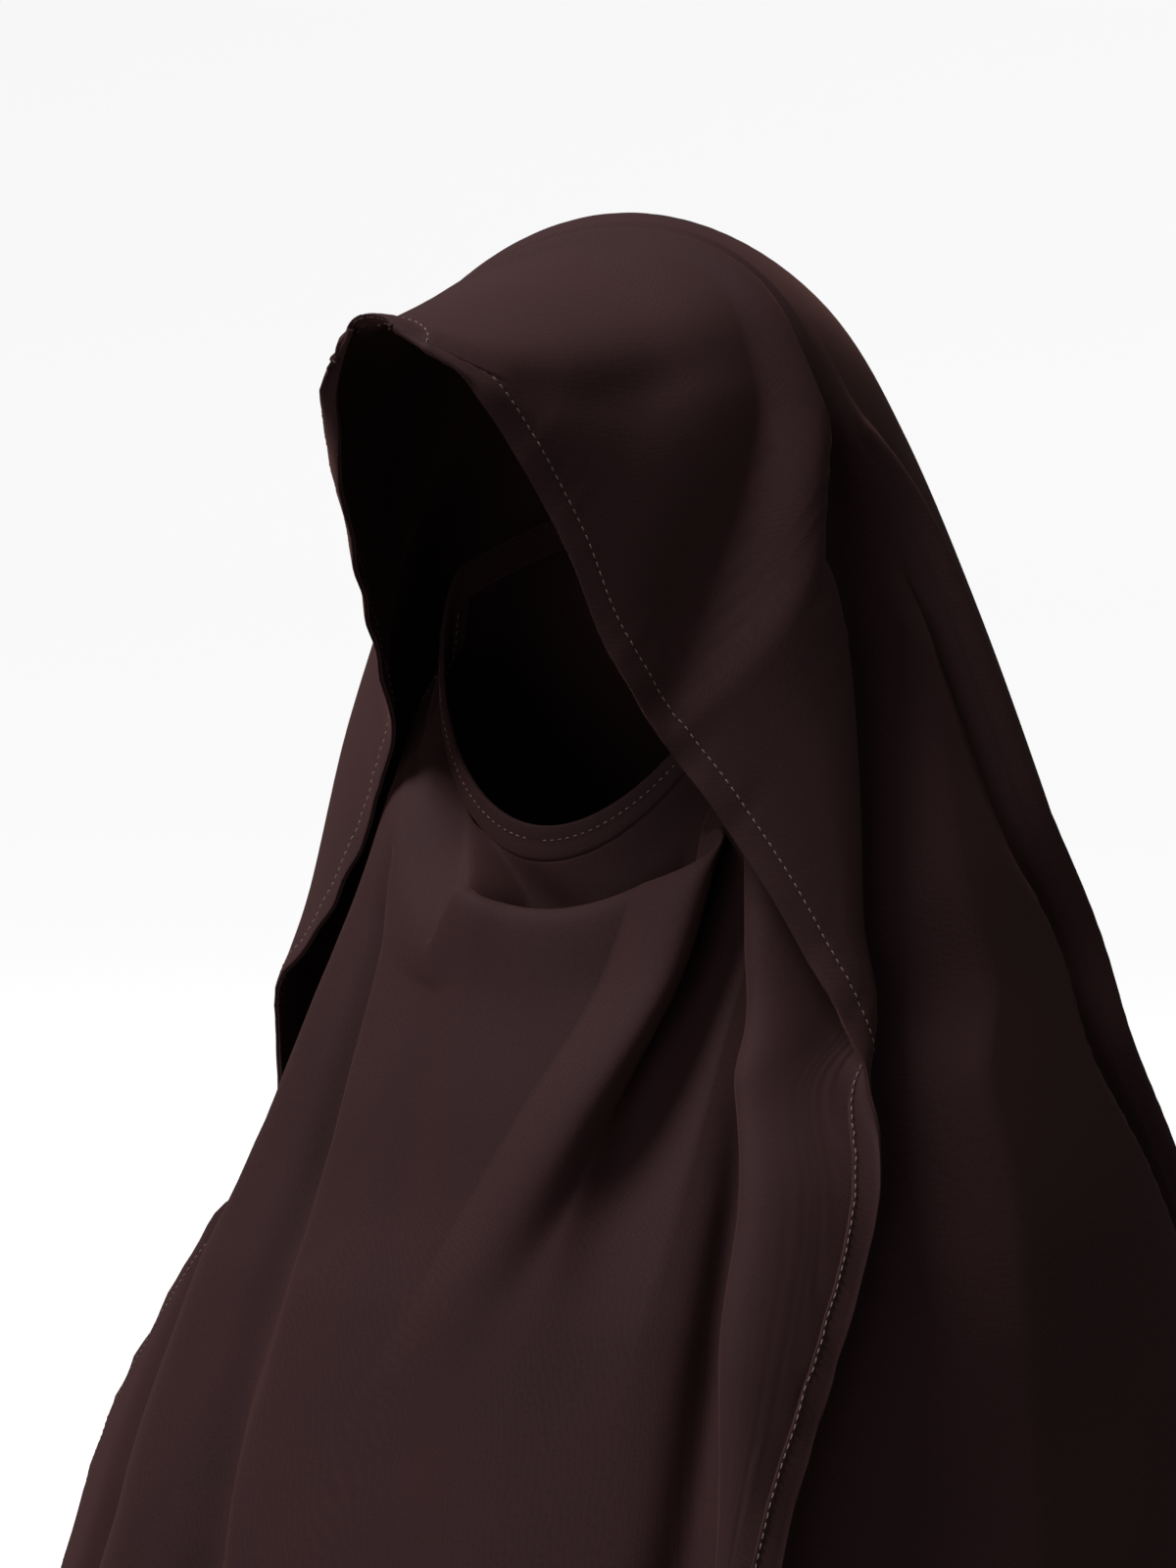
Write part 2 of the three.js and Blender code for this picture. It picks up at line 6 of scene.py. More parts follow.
import bpy
import numpy as np
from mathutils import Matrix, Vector


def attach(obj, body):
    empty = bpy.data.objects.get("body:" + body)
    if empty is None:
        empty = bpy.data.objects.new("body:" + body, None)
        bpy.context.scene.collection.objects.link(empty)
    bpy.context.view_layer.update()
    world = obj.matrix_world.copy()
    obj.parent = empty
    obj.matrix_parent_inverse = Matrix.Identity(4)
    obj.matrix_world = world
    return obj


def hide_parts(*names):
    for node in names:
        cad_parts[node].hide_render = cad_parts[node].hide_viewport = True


bl_info = {
    "name": "Khimar veil",
    "version": (1, 0, 0),
    "blender": (4, 5, 0),
    "location": "3D View > Sidebar > Khimar",
    "description": "Builds a worn khimar veil with its chest panel, chin band, hems, stitches and studio",
    "category": "Add Mesh",
}

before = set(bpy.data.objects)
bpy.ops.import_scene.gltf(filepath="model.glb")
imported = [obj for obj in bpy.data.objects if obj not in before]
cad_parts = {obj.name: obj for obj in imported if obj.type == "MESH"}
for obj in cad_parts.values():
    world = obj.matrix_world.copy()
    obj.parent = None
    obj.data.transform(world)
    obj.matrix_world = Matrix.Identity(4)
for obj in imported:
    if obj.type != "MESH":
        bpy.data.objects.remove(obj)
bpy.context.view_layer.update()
ROOT = "root"

# Driving sizes, in metres: those of the solids, but for the cloth's real, thinner layers
SHOULDER_HALF_WIDTH = 0.200  # every share across (x) is of this
SHOULDER_DEPTH = 0.200  # every share front to back (y) is of this
BUST_DROP = 0.400  # crown to bust line: heights 0 to 1
LENGTH = 0.900  # crown to the lowest hem: heights 1 to 2 share what lies below the bust line
CLOTH_WALL = 0.0009  # crepe with its hand, one layer
HEM_WIDTH = 0.011
HEM_WALL = 0.0008  # the turned layer
LAYER_GAP = 0.0001  # from the cloth to its turned layer
BAND_HEIGHT = 0.011
BAND_WALL = 0.0022  # two layers, folded
BAND_LAP = 0.0024  # how far the strip's lower edge comes down over the panel's upper edge
BAND_SEAT = 0.0022  # from the panel's top line up to the band
LOOP_HALF_WIDTH = 0.077  # the band's loop, at its widest
BAND_BACK_RISE = 0.10  # of the bust drop: how much higher the loop lies at the back than at the sides
BAND_BACK_GAP = 0.0011  # from the band's loop to the middle of the veil's wall at the back
BAND_STITCH = 0.5  # of its height: where the band is stitched
STITCH_LINE = 0.0098  # from a hem's edge to its row of stitches

# Seeds of the hems' uneven puckers
VEIL_SEED, PANEL_SEED = 11, 23


def table(text):
    """Reads a table with named columns: one array for each column."""
    lines = [line.split() for line in text.strip().splitlines()]
    columns = {"name": [line[0] for line in lines[1:]]}
    for c, title in enumerate(lines[0][1:], start=1):
        columns[title] = np.array([float(line[c]) for line in lines[1:]])
    return columns


# Rings of the veil, from its tip at the front back over the crown and down to the lowest hem.
# near and far are the hem points on the wearer's left and right, top is the ring's middle at the top or
# back. x and y in hundredths of the shoulder sizes, z as a height (0 crown, 1 bust line, 2 lowest hem).
# near_w, far_w: half widths; back: depth of the rear quarter. The last five describe the front pleat:
# gap: degrees from the hem to its start; phase: how much of it the hem leaves (-180 is all);
# span and reach in degrees; lift: height in hundredths of the shoulder depth.
RINGS = table("""
  name      near_x near_y near_z  far_x  far_y  far_z  top_y  top_z  near_w far_w  back   gap phase span reach lift
  tip          4.0  -79.5   .120   -4.0  -79.0   .124  -79.0   .112     4.7   4.7   2.0   120  -180   38     0    0
  brow        17.0  -75.5   .164  -13.0  -72.0   .170  -68.0   .112    18.5  16.5  13.0   110  -180   38     0    0
  forehead    24.0  -67.0   .244  -21.0  -62.0   .244  -52.0   .090    27.0  26.0  24.0   130  -180   38     0    0
  temple      29.0  -60.5   .320  -27.0  -51.0   .320  -30.0   .056    34.0  34.0  34.0   138  -180   38     2    1
  crown       33.8  -56.5   .400  -31.0  -40.0   .402   -2.0   .003    42.0  42.0  43.0   54  -180   38     8    3
  cheek       40.8  -49.5   .478  -33.5  -30.0   .488   28.0   .044    48.0  50.0  48.0     4  -180   38    11    8
  jaw         47.8  -45.5   .534  -36.5  -27.5   .536   47.0   .156      55  62.5  50.0     0  -165   38  12.5   10
  nape        56.4  -42.0   .604  -40.5  -30.0   .608   62.0   .326      66  72.5  54.0     0  -148   38  13.5   11
  collar      64.7  -40.0   .668  -47.5  -35.0   .694   75.0   .502      76  76.5  60.0     0  -130   38    14   12
  shoulder    74.0  -38.5   .740  -56.0  -37.5   .750   88.0   .672    83.5  78.0  67.0     0  -110   38    14   13
  twist       79.0  -38.5   .802  -57.5  -37.5   .814   98.0   .818      90    79  75.0     0   -68   38    14   12
  upper_arm   84.0  -46.0   .876  -54.5  -38.0   .880  107.0   .946      96  83.0  80.0     0   -40   38    14   12
  bust        86.0  -62.5   .985  -52.0  -41.0   .990  117.0  1.060   102.0  91.5  86.0     0   -18   38    14   11
  elbow       86.0  -82.5  1.110  -53.5  -47.0  1.120  129.0  1.200   109.0 106.5  94.0     0    10   38    13   10
  waist       88.0 -100.0  1.280  -59.0  -55.0  1.300  140.0  1.380   120.0 125.0 102.0     0    12   38    12    9
  hip         92.0 -115.0  1.560  -67.0  -64.0  1.580  151.0  1.660   136.0 140.0 112.0     0    12   38    12    9
  hem         95.0 -125.0  1.900  -72.0  -68.0  1.920  159.0  2.000   150.0 150.0 120.0     0    12   38    12    9
""")

# Soft folds of the veil: place at the nape and at the bust in degrees round from the front, the rings
# over which the fold grows in, half width in degrees, and height in hundredths of the shoulder depth.
VEIL_FOLDS = table("""
  name       high   low  from  full  width  lift
  back_near   150   146     6    10      9     4
  back_mid    184   182     7    11      9     6
  back_far    218   222     7    11     10     6
  side_far    248   258     7    11      9     5
""")

# Further pleats of the veil, counted in degrees from the front pleat
VEIL_PLEATS = table("""
  name       high   low  from  full  span  reach  lift
  side_pleat   18    56   4.5   6.5    16    1.6  -3.5
  rear_pleat   62    90   7.5  10.0    22    1.5  -2.5
""")

# Rows of the chest panel, from the chin band down. mid: the middle of the front; side: the level
# line through the widest place; near_w and far_w: half widths; near_end and far_end: where it stops;
# turn: degrees by which the row's lowest place lies towards the near side.
ROWS = table("""
  name      mid_y   mid_z  side_y  side_z  near_w  far_w  near_end  far_end  turn
  neck      -29.0    .615    -2.5    .380    38.5   38.5        95       95     0
  fall      -29.2    .662    -2.5    .402    38.2   38.6        92       92     4
  hollow    -31.5    .722    -3.5    .432    38.0   39.0        90       90    10
  cowl      -41.5    .662    -5.5    .446    41.0   40.0        88       88    14
  rim       -48.0    .655    -7.0    .475    45.5   41.5        86       84    14
  breast    -52.0    .732    -8.0    .565    51.0   45.0        82       76    10
  chest     -59.5    .825    -8.0    .685    59.0   54.0        76       66     5
  crossing  -67.5    .935    -7.0    .840    69.0   68.5        70       52     0
  bust      -79.0   1.060    -5.0   1.025    82.5   92.0        65       57     0
  elbow     -91.0   1.200    -3.0   1.190    98.0  114.0        60       63     0
  waist    -105.0   1.400    -2.0   1.400   114.0  129.0        56       64     0
  hip      -119.0   1.660    -1.0   1.670   129.0  140.0        54       64     0
  hem      -128.0   1.940     0.0   1.955   139.0  148.0        52       64     0
""")

# Folds of the panel: place in degrees from the front at the rim, the crossing and the elbow row
PANEL_FOLDS = table("""
  name          rim  crossing  elbow  from  full  width  lift
  inner_valley  -46       -29    -19     3     6    3.2  -5.0
  long_fold     -60       -43    -31     3     7    6.5   4.5
  outer_valley  -72       -54    -40     6     8    3.2  -4.5
  small_fold    -40       -32    -14     7     9    2.6   2.0
  chest_valley  -17        -3      8     4     7    6.5  -2.5
  near_valley    72        52     37     6     8    3.6  -4.5
""")

# The deep pleat that falls from high on the near side towards the middle of the chest: its place in degrees
# for each row, the rows over which it grows in and fades, its span and reach in degrees, and its lift
COWL_PLEAT = {
    "places": [66, 65, 64, 61, 57, 48, 35, 24, 15, 12, 12, 12, 12],
    "from": 1, "full": 3.5, "fade": 5.0, "gone": 8.5, "span": 36, "reach": 7.5, "lift": 7.5,
}
# Creases of the cowl: the first crosses its hollow, the second is the rim's far end. Degrees and lift for
# each row, and half width in degrees
COWL_CREASES = [
    {
        "places": [-6, 6, 18, 25, 28, 28, 28, 28, 28, 28, 28, 28, 28],
        "lifts": [0, -2, -3, -1.5, 0, 0, 0, 0, 0, 0, 0, 0, 0],
        "width": 8,
    },
    {
        "places": [-25, -13, -6, -3, 0, 0, 0, 0, 0, 0, 0, 0, 0],
        "lifts": [1, 2.5, 3, 2, 1, 0, 0, 0, 0, 0, 0, 0, 0],
        "width": 5,
    },
]
# Degrees at which the cowl's rim ends on the far side, row by row, and over how many it turns plain
COWL_FAR_EDGE = [-19, -8, -4, -9, -12, -6, 0, 0, 0, 0, 0, 0, 0]
COWL_EDGE_WIDTH = 5
PLAIN_BULGE = {"side": 1.2, "front": 2.1, "from": -72, "to": -42}  # how soon the plain cloth comes out
BREAST_ROW = 5  # row down to which the cloth falls straight beside the cowl

# Soft dents and swells of the hood: ring and degrees of the middle, slant in degrees for each ring,
# half sizes in degrees and rings, and height in hundredths of the shoulder depth
HOOD_DENTS = table("""
  name          ring  place  slant  wide  long  lift
  brow_ridge     2.6    120      0    16   1.6   1.2
  temple_dent    3.2    100      0    14   1.6  -1.6
  cheek_dent     5.2     62     -8    10   1.8  -1.6
""")

FOLD_TOP, FOLD_BOTTOM = 5, 12  # rings where the veil's folds have their high and low place
RIM_ROW, CROSSING_ROW, ELBOW_ROW = 4, 7, 9  # rows where the panel's folds have their places
ROUNDING = 0.4  # second wave in a pleat's lift, which rounds its two bends
SAG_POWER = 1.3  # how sharply a level line hangs down to its middle


def ease(start, end, value):
    """Smooth step from 0 at the start to 1 at the end."""
    t = np.clip((value - start) / (end - start), 0, 1)
    return t * t * (3 - 2 * t)


def curve(values, step):
    """Smooth curve through values that stand at whole steps."""
    values = np.asarray(values, float)
    last = len(values) - 1
    s = np.clip(step, 0, last)
    i = np.minimum(np.floor(s).astype(int), last - 1)
    f = s - i
    p1, p2 = values[i], values[i + 1]
    p0 = np.where(i > 0, values[np.maximum(i - 1, 0)], 2 * p1 - p2)
    p3 = np.where(i < last - 1, values[np.minimum(i + 2, last)], 2 * p2 - p1)
    bend = 2 * p0 - 5 * p1 + 4 * p2 - p3
    turn = 3 * p1 - p0 - 3 * p2 + p3
    return (2 * p1 + (p2 - p0) * f + bend * f**2 + turn * f**3) / 2


def across(share):
    return share / 100 * SHOULDER_HALF_WIDTH


def along(share):
    return share / 100 * SHOULDER_DEPTH


def height(share):
    return -(np.minimum(share, 1) * BUST_DROP + np.maximum(share - 1, 0) * (LENGTH - BUST_DROP))


def ring_x(name, k):
    return across(curve(RINGS[name], k))


def ring_y(name, k):
    return along(curve(RINGS[name], k))


def ring_z(name, k):
    return height(curve(RINGS[name], k))


def hem_angle(x, half_width):
    """Angle at which a ring of that half width reaches a hem point."""
    return np.arcsin(np.clip(x / half_width, 0, 0.99))


def pleat_wave(phase):
    """One wave of a pleat: cloth runs on, back and on again. Its pull along the ring and its lift."""
    p = np.clip(phase, -np.pi, np.pi)
    return np.sin(p), (np.sin(p) - ROUNDING * np.sin(2 * p)) / (1 + ROUNDING / 2)


def front_pleat(k):
    """The front pleat's middle, span, reach, gap, start and hem phases, in radians, and its lift."""
    phase, span, reach, gap = (np.radians(curve(RINGS[c], k)) for c in ("phase", "span", "reach", "gap"))
    phase, gap, reach = np.maximum(phase, -np.pi), np.maximum(gap, 0), np.maximum(reach, 0)
    hem_phase = np.maximum(phase - gap * 2 * np.pi / span, -np.pi)
    start = hem_angle(ring_x("near_x", k), ring_x("near_w", k)) + gap - span * phase / (2 * np.pi)
    centre = start + reach * np.sin(hem_phase)
    return centre, span, reach, gap, phase, hem_phase, along(np.maximum(curve(RINGS["lift"], k), 0))


def ring_ends(k):
    """Angles of a ring's near hem, its front pleat's outer bend and end, and its far hem, laid out flat."""
    centre, span, _, gap, phase, _, _ = front_pleat(k)
    near = centre - gap + span * phase / (2 * np.pi)
    pleat_end = centre + span / 2
    far = 2 * np.pi - hem_angle(-ring_x("far_x", k), ring_x("far_w", k))
    return near, centre - BEND_PLACE * span, pleat_end, far


def soft_folds(folds, place, degrees, k):
    """Height of the soft folds whose crests stand at the given places."""
    lift = 0
    for i in range(len(folds["name"])):
        away = (degrees - place[i]) / folds["width"][i]
        grown = ease(folds["from"][i], folds["full"][i], k)
        lift = lift + along(folds["lift"][i]) * np.exp(-away**2) * grown
    return lift


def veil_point(k, flat):
    """Points of the veil's middle surface: ring k, and flat angle from the front over the near side."""
    k, flat = np.broadcast_arrays(np.asarray(k, float), np.asarray(flat, float))
    centre, span, reach, _, _, hem_phase, pleat_lift = front_pleat(k)
    phase = np.clip((flat - centre) * 2 * np.pi / span, -np.pi, np.pi)
    pull, wave = pleat_wave(phase)
    hem_share = (np.pi - phase) / (np.pi - hem_phase)
    angle = flat - reach * pull
    lift = pleat_lift * (pleat_wave(hem_phase)[1] * hem_share - wave)
    slide = np.clip((k - FOLD_TOP) / (FOLD_BOTTOM - FOLD_TOP), 0, 1.5)
    for i in range(len(VEIL_PLEATS["name"])):
        high, low = VEIL_PLEATS["high"][i], VEIL_PLEATS["low"][i]
        place = centre + np.radians(high + (low - high) * slide)
        side_pull, side_wave = pleat_wave((flat - place) * 2 * np.pi / np.radians(VEIL_PLEATS["span"][i]))
        grown = ease(VEIL_PLEATS["from"][i], VEIL_PLEATS["full"][i], k)
        angle = angle - np.radians(VEIL_PLEATS["reach"][i]) * side_pull * grown
        lift = lift - along(VEIL_PLEATS["lift"][i]) * side_wave * grown
    places = [high + (low - high) * slide for high, low in zip(VEIL_FOLDS["high"], VEIL_FOLDS["low"])]
    lift = lift + soft_folds(VEIL_FOLDS, places, np.degrees(angle), k) + hood_dents(np.degrees(angle), k)

    sin, cos = np.sin(angle), np.cos(angle)
    share = ease(-1, 1, sin)
    near_hem = hem_angle(ring_x("near_x", k), ring_x("near_w", k))
    far_hem = hem_angle(-ring_x("far_x", k), ring_x("far_w", k))
    hem_y = ring_y("far_y", k) + (ring_y("near_y", k) - ring_y("far_y", k)) * share
    hem_z = ring_z("far_z", k) + (ring_z("near_z", k) - ring_z("far_z", k)) * share
    half_width = ring_x("far_w", k) + (ring_x("near_w", k) - ring_x("far_w", k)) * share
    hem = far_hem + (near_hem - far_hem) * share
    top_y, top_z, back = ring_y("top_y", k), ring_z("top_z", k), ring_y("back", k)
    length = np.hypot(top_y - hem_y, top_z - hem_z)
    depth = np.where(cos > 0, (length - back) / np.cos(hem), back)
    out_x, out_along = depth * sin, -half_width * cos
    out = np.hypot(out_x, out_along)
    x = half_width * sin + lift * out_x / out
    run = -back - depth * cos + lift * out_along / out
    return np.stack([x, top_y + run * (top_y - hem_y) / length, top_z + run * (top_z - hem_z) / length], -1)


def hood_dents(degrees, k):
    """Soft dents and swells of the hood's cloth."""
    lift = 0
    for i in range(len(HOOD_DENTS["name"])):
        below = k - HOOD_DENTS["ring"][i]
        off = (degrees - HOOD_DENTS["place"][i] - HOOD_DENTS["slant"][i] * below) / HOOD_DENTS["wide"][i]
        down = below / HOOD_DENTS["long"][i]
        lift = lift + along(HOOD_DENTS["lift"][i]) * np.exp(-off**2 - down**2)
    return lift


def panel_point(k, flat):
    """Points of the panel's middle surface: row k, and angle from the front, positive on the near side."""
    k, flat = np.broadcast_arrays(np.asarray(k, float), np.asarray(flat, float))
    centre, span = np.radians(curve(COWL_PLEAT["places"], k)), np.radians(COWL_PLEAT["span"])
    pull, wave = pleat_wave((flat - centre) * 2 * np.pi / span)
    faded = ease(COWL_PLEAT["fade"], COWL_PLEAT["gone"], k)
    grown = ease(COWL_PLEAT["from"], COWL_PLEAT["full"], k) * (1 - faded)
    angle = flat - np.radians(COWL_PLEAT["reach"]) * pull * grown
    high = np.clip((k - RIM_ROW) / (CROSSING_ROW - RIM_ROW), 0, 1)
    low = np.clip((k - CROSSING_ROW) / (ELBOW_ROW - CROSSING_ROW), 0, 1)
    folds = PANEL_FOLDS
    places = [curve(p, high + low) for p in zip(folds["rim"], folds["crossing"], folds["elbow"])]
    degrees = np.degrees(angle)
    lift = -along(COWL_PLEAT["lift"]) * wave * grown + soft_folds(folds, places, degrees, k)
    for crease in COWL_CREASES:
        away = (degrees - curve(crease["places"], k)) / crease["width"]
        lift = lift + along(curve(crease["lifts"], k)) * np.exp(-(away**2))
    sin, cos = np.sin(angle), np.cos(angle)
    near_w, far_w = across(curve(ROWS["near_w"], k)), across(curve(ROWS["far_w"], k))
    half_width = far_w + (near_w - far_w) * ease(-1, 1, sin)
    edge = curve(COWL_FAR_EDGE, k)
    cowl = ease(edge - COWL_EDGE_WIDTH, edge + COWL_EDGE_WIDTH, degrees)
    step = np.clip(k / BREAST_ROW, 0, 1)
    forward = ease(PLAIN_BULGE["from"], PLAIN_BULGE["to"], degrees)
    bulge = PLAIN_BULGE["side"] + (PLAIN_BULGE["front"] - PLAIN_BULGE["side"]) * forward
    mid_y, mid_z = (
        np.where(k < BREAST_ROW, plain + (real - plain) * cowl, real)
        for plain, real in (
            (ROWS[c][0] + (ROWS[c][BREAST_ROW] - ROWS[c][0]) * share, curve(ROWS[c], k))
            for c, share in (("mid_y", 1 - (1 - step) ** bulge), ("mid_z", step))
        )
    )
    side_y = along(curve(ROWS["side_y"], k))
    depth = side_y - along(mid_y)
    out_x, out_y = depth * sin, -half_width * cos
    out = np.hypot(out_x, out_y)
    side_z = curve(ROWS["side_z"], k)
    front = np.maximum(np.cos(angle - np.radians(curve(ROWS["turn"], k)) * cowl), 0)
    z = side_z + (mid_z - side_z) * front**SAG_POWER
    x, y = half_width * sin + lift * out_x / out, side_y - depth * cos + lift * out_y / out
    return np.stack([x, y, height(z)], -1)


# Cells of the fine cloth
VEIL_ROWS_PER_RING = 10
VEIL_CELLS = {"front": 30, "pleat": 54, "side": 50, "back": 66}
BEND_PLACE = 0.3  # of the front pleat's span, from its middle to its outer bend
LEAST_FRONT = 0.34  # least share of the cloth from the hem to the pleat's end that lies before the bend
LEAST_PLEAT = 6  # least degrees from the hem's inner edge to the pleat's end
SIDE_PLEAT_REACH = 45  # degrees past the front pleat that get narrow cells
PANEL_ROWS_PER_ROW = 12
PANEL_CELLS = {"far": 92, "pleat": 62, "near": 20}
HEM_STEPS = np.array([0, 0.4, 1.2, 3.0, 5.5, 8.0, 9.0, 9.5, 9.8, 10.1, 10.6, 11.5, 13.5, 16.5]) / 1000
HEM_SEARCH = 0.6  # radians from an edge in which its hem's steps are found
ROW_SEARCH = 1.0  # rings or rows from an edge in which they are found
SMALL_STEPS = 700  # steps in which lengths are measured along the cloth

# Relief of a stitched hem, in metres
HEM_SWELL = 0.00025  # the doubled cloth stands proud
HEM_BLEND = 0.001  # either side of the hem's inner edge
EDGE_ROUNDING = 0.0012
STITCH_SINK = 0.00035  # the thread pulls a groove
STITCH_HALF_WIDTH = 0.0007
PUCKER_HEIGHT = 0.0003
PUCKER_REACH = 0.012  # how far puckers run into the cloth from the stitches
PUCKER_LENGTH = 0.0105
PUCKER_DRIFT = 0.053  # length over which they come closer and part again
PUCKER_FADE = 0.071  # length over which they weaken and grow again
EDGE_WAVE = 0.0007  # slow waves of a hem's edge
EDGE_WAVE_LENGTH = 0.034
EDGE_WAVE_DRIFT = 0.13
EDGE_WAVE_REACH = 0.012

TURNED_WEAVE = 0.9  # the weave's spacing on turned and folded cloth, of the plain cloth's

# A stitch, from end to end: height of its middle above the cloth, and thickness, both in threads
STITCH_RISE = np.array([-0.45, 0.25, 0.4, 0.25, -0.45])
STITCH_TAPER = np.array([0.55, 0.95, 1.0, 0.95, 0.55])
STITCH_SIDES = 6

# The chin band's folded strip
BAND_SIDES = 160
BAND_SECTION_SIDES = 32
BAND_TOP_EDGE, BAND_FLAT_SIDE = 1.25, 1.6  # how square the section is at its edges and at its sides
BAND_CORNER = 0.8  # of its half height: where its edges begin to thin, by BAND_THINNING at the very edge
BAND_THINNING = 0.35
BAND_GROOVE, BAND_GROOVE_WIDTH = 0.0003, 0.0008  # its stitches' groove
BAND_RADIUS = 0.09  # mean, for lengths along it
BAND_RIPPLE, BAND_RIPPLE_LENGTH, BAND_RIPPLE_DRIFT = 0.00022, 0.011, 0.047
BAND_STITCH_POINTS = 720  # points of its row of stitches

# Studio, in metres
LOOK_AT = (-0.01229, -0.00860, -0.222)  # what the camera looks at
FLOOR_Z = -0.98
STAGE_SIDES = 96
# radius and height of the paper's profile: a wide floor that curves up all round
STAGE_PROFILE = [
    (0.001, 0), (1.5, 0), (3.0, 0), (4.5, 0), (5.6, 0.12), (6.5, 0.5), (7.1, 1.2), (7.3, 2.2), (7.3, 5.0)
]
# the soft lights from LOOK_AT: to the camera's right, towards the camera, up; and share of the key's power
LIGHTS = {"key_softbox": (-1.5, 0.6, 2.7, 1.0), "low_softbox": (-0.9, 2.2, -0.35, 0.09)}
LIGHT_SIZE = 1.2


def run_lengths(points, axis):
    """Length gone along a grid's lines, which lays the cloth out flat."""
    steps = np.linalg.norm(np.diff(points, axis=axis), axis=-1)
    start = np.zeros_like(np.take(steps, [0], axis=axis))
    return np.cumsum(np.concatenate([start, steps], axis=axis), axis=axis)


def steps_in(point_at, distances, limit):
    """Steps along a surface after which its line has gone the given lengths from the edge, for each row."""
    steps = np.linspace(0, limit, SMALL_STEPS)
    gone = run_lengths(point_at(steps[None]), 1)
    return np.array([np.interp(distances, row, steps) for row in gone])


def spread(start, end, cells):
    """Evenly spaced angles for each row, without the last one."""
    return start + (end - start) * np.arange(cells) / cells


def veil_cells():
    """Rings and flat angles of the veil's fine grid."""
    last = len(RINGS["near_x"]) - 1
    top = steps_in(lambda s: veil_point(s, np.pi), HEM_STEPS, ROW_SEARCH)[0]
    bottom = steps_in(lambda s: veil_point(last - s, np.pi), HEM_STEPS, ROW_SEARCH)[0]
    inner = np.linspace(top[-1], last - bottom[-1], last * VEIL_ROWS_PER_RING)[1:-1]
    k = np.concatenate([top, inner, (last - bottom)[::-1]])[:, None]
    near, bend, pleat_end, far = ring_ends(k)
    near_hem = near + steps_in(lambda s: veil_point(k, near + s), HEM_STEPS, HEM_SEARCH)
    far_hem = far - steps_in(lambda s: veil_point(k, far - s), HEM_STEPS, HEM_SEARCH)
    start, end = near_hem[:, -1:], far_hem[:, -1:]
    pleat_end = np.maximum(pleat_end, start + np.radians(LEAST_PLEAT))
    bend = np.maximum(bend, start + LEAST_FRONT * (pleat_end - start))
    side_end = np.minimum(pleat_end + np.radians(SIDE_PLEAT_REACH), (pleat_end + end) / 2)
    flat = np.concatenate(
        [
            near_hem[:, :-1],
            spread(start, bend, VEIL_CELLS["front"]),
            spread(bend, pleat_end, VEIL_CELLS["pleat"]),
            spread(pleat_end, side_end, VEIL_CELLS["side"]),
            spread(side_end, end, VEIL_CELLS["back"]),
            far_hem[:, ::-1],
        ],
        axis=1,
    )
    return k + np.zeros_like(flat), flat


def panel_cells():
    """Rows and flat angles of the panel's fine grid."""
    last = len(ROWS["mid_y"]) - 1
    bottom = steps_in(lambda s: panel_point(last - s, 0.0), HEM_STEPS, ROW_SEARCH)[0]
    inner = np.linspace(0, last - bottom[-1], last * PANEL_ROWS_PER_ROW)[:-1]
    k = np.concatenate([inner, (last - bottom)[::-1]])[:, None]
    far, near = -np.radians(curve(ROWS["far_end"], k)), np.radians(curve(ROWS["near_end"], k))
    far_hem = far + steps_in(lambda s: panel_point(k, far + s), HEM_STEPS, HEM_SEARCH)
    near_hem = near - steps_in(lambda s: panel_point(k, near - s), HEM_STEPS, HEM_SEARCH)
    pleat, half = np.radians(curve(COWL_PLEAT["places"], k)), np.radians(COWL_PLEAT["span"] / 2)
    flat = np.concatenate(
        [
            far_hem[:, :-1],
            spread(far_hem[:, -1:], pleat - half, PANEL_CELLS["far"]),
            spread(pleat - half, pleat + half, PANEL_CELLS["pleat"]),
            spread(pleat + half, near_hem[:, -1:], PANEL_CELLS["near"]),
            near_hem[:, ::-1],
        ],
        axis=1,
    )
    return k + np.zeros_like(flat), flat


def grid_normals(points):
    """Outward unit normals at a grid's points."""
    across_step = np.gradient(points, axis=1)
    down_step = np.gradient(points, axis=0)
    normals = np.cross(down_step, across_step)
    return normals / np.maximum(np.linalg.norm(normals, axis=-1, keepdims=True), 1e-12)


def wave(way, length, turn=0.0):
    """Sine wave along a way, of the given length."""
    return np.sin(way * 2 * np.pi / length + turn)


def hem_relief(distances, ways, seed):
    """Lift of the cloth by its hems: doubled cloth, sunk stitches, puckers and slow waves of the edge."""
    rng = np.random.default_rng(seed)
    lift = 0
    for distance, way in zip(distances, ways):
        on_hem = ease(HEM_WIDTH + HEM_BLEND, HEM_WIDTH - HEM_BLEND, distance)
        groove = np.exp(-(((distance - STITCH_LINE) / STITCH_HALF_WIDTH) ** 2))
        turns = rng.uniform(0, 2 * np.pi, 3)
        uneven = 0.55 + 0.45 * wave(way, PUCKER_FADE, turns[0])
        pucker = wave(way, PUCKER_LENGTH, 2.2 * wave(way, PUCKER_DRIFT, turns[1]))
        near_stitches = np.exp(-(((distance - STITCH_LINE) / PUCKER_REACH) ** 2))
        slow = wave(way, EDGE_WAVE_LENGTH, 1.7 * wave(way, EDGE_WAVE_DRIFT, turns[2]))
        swell = HEM_SWELL * (on_hem * ease(0, EDGE_ROUNDING, distance))
        lift += swell - STITCH_SINK * groove + PUCKER_HEIGHT * uneven * pucker * near_stitches
        lift += EDGE_WAVE * slow * np.exp(-distance / EDGE_WAVE_REACH)
    return lift


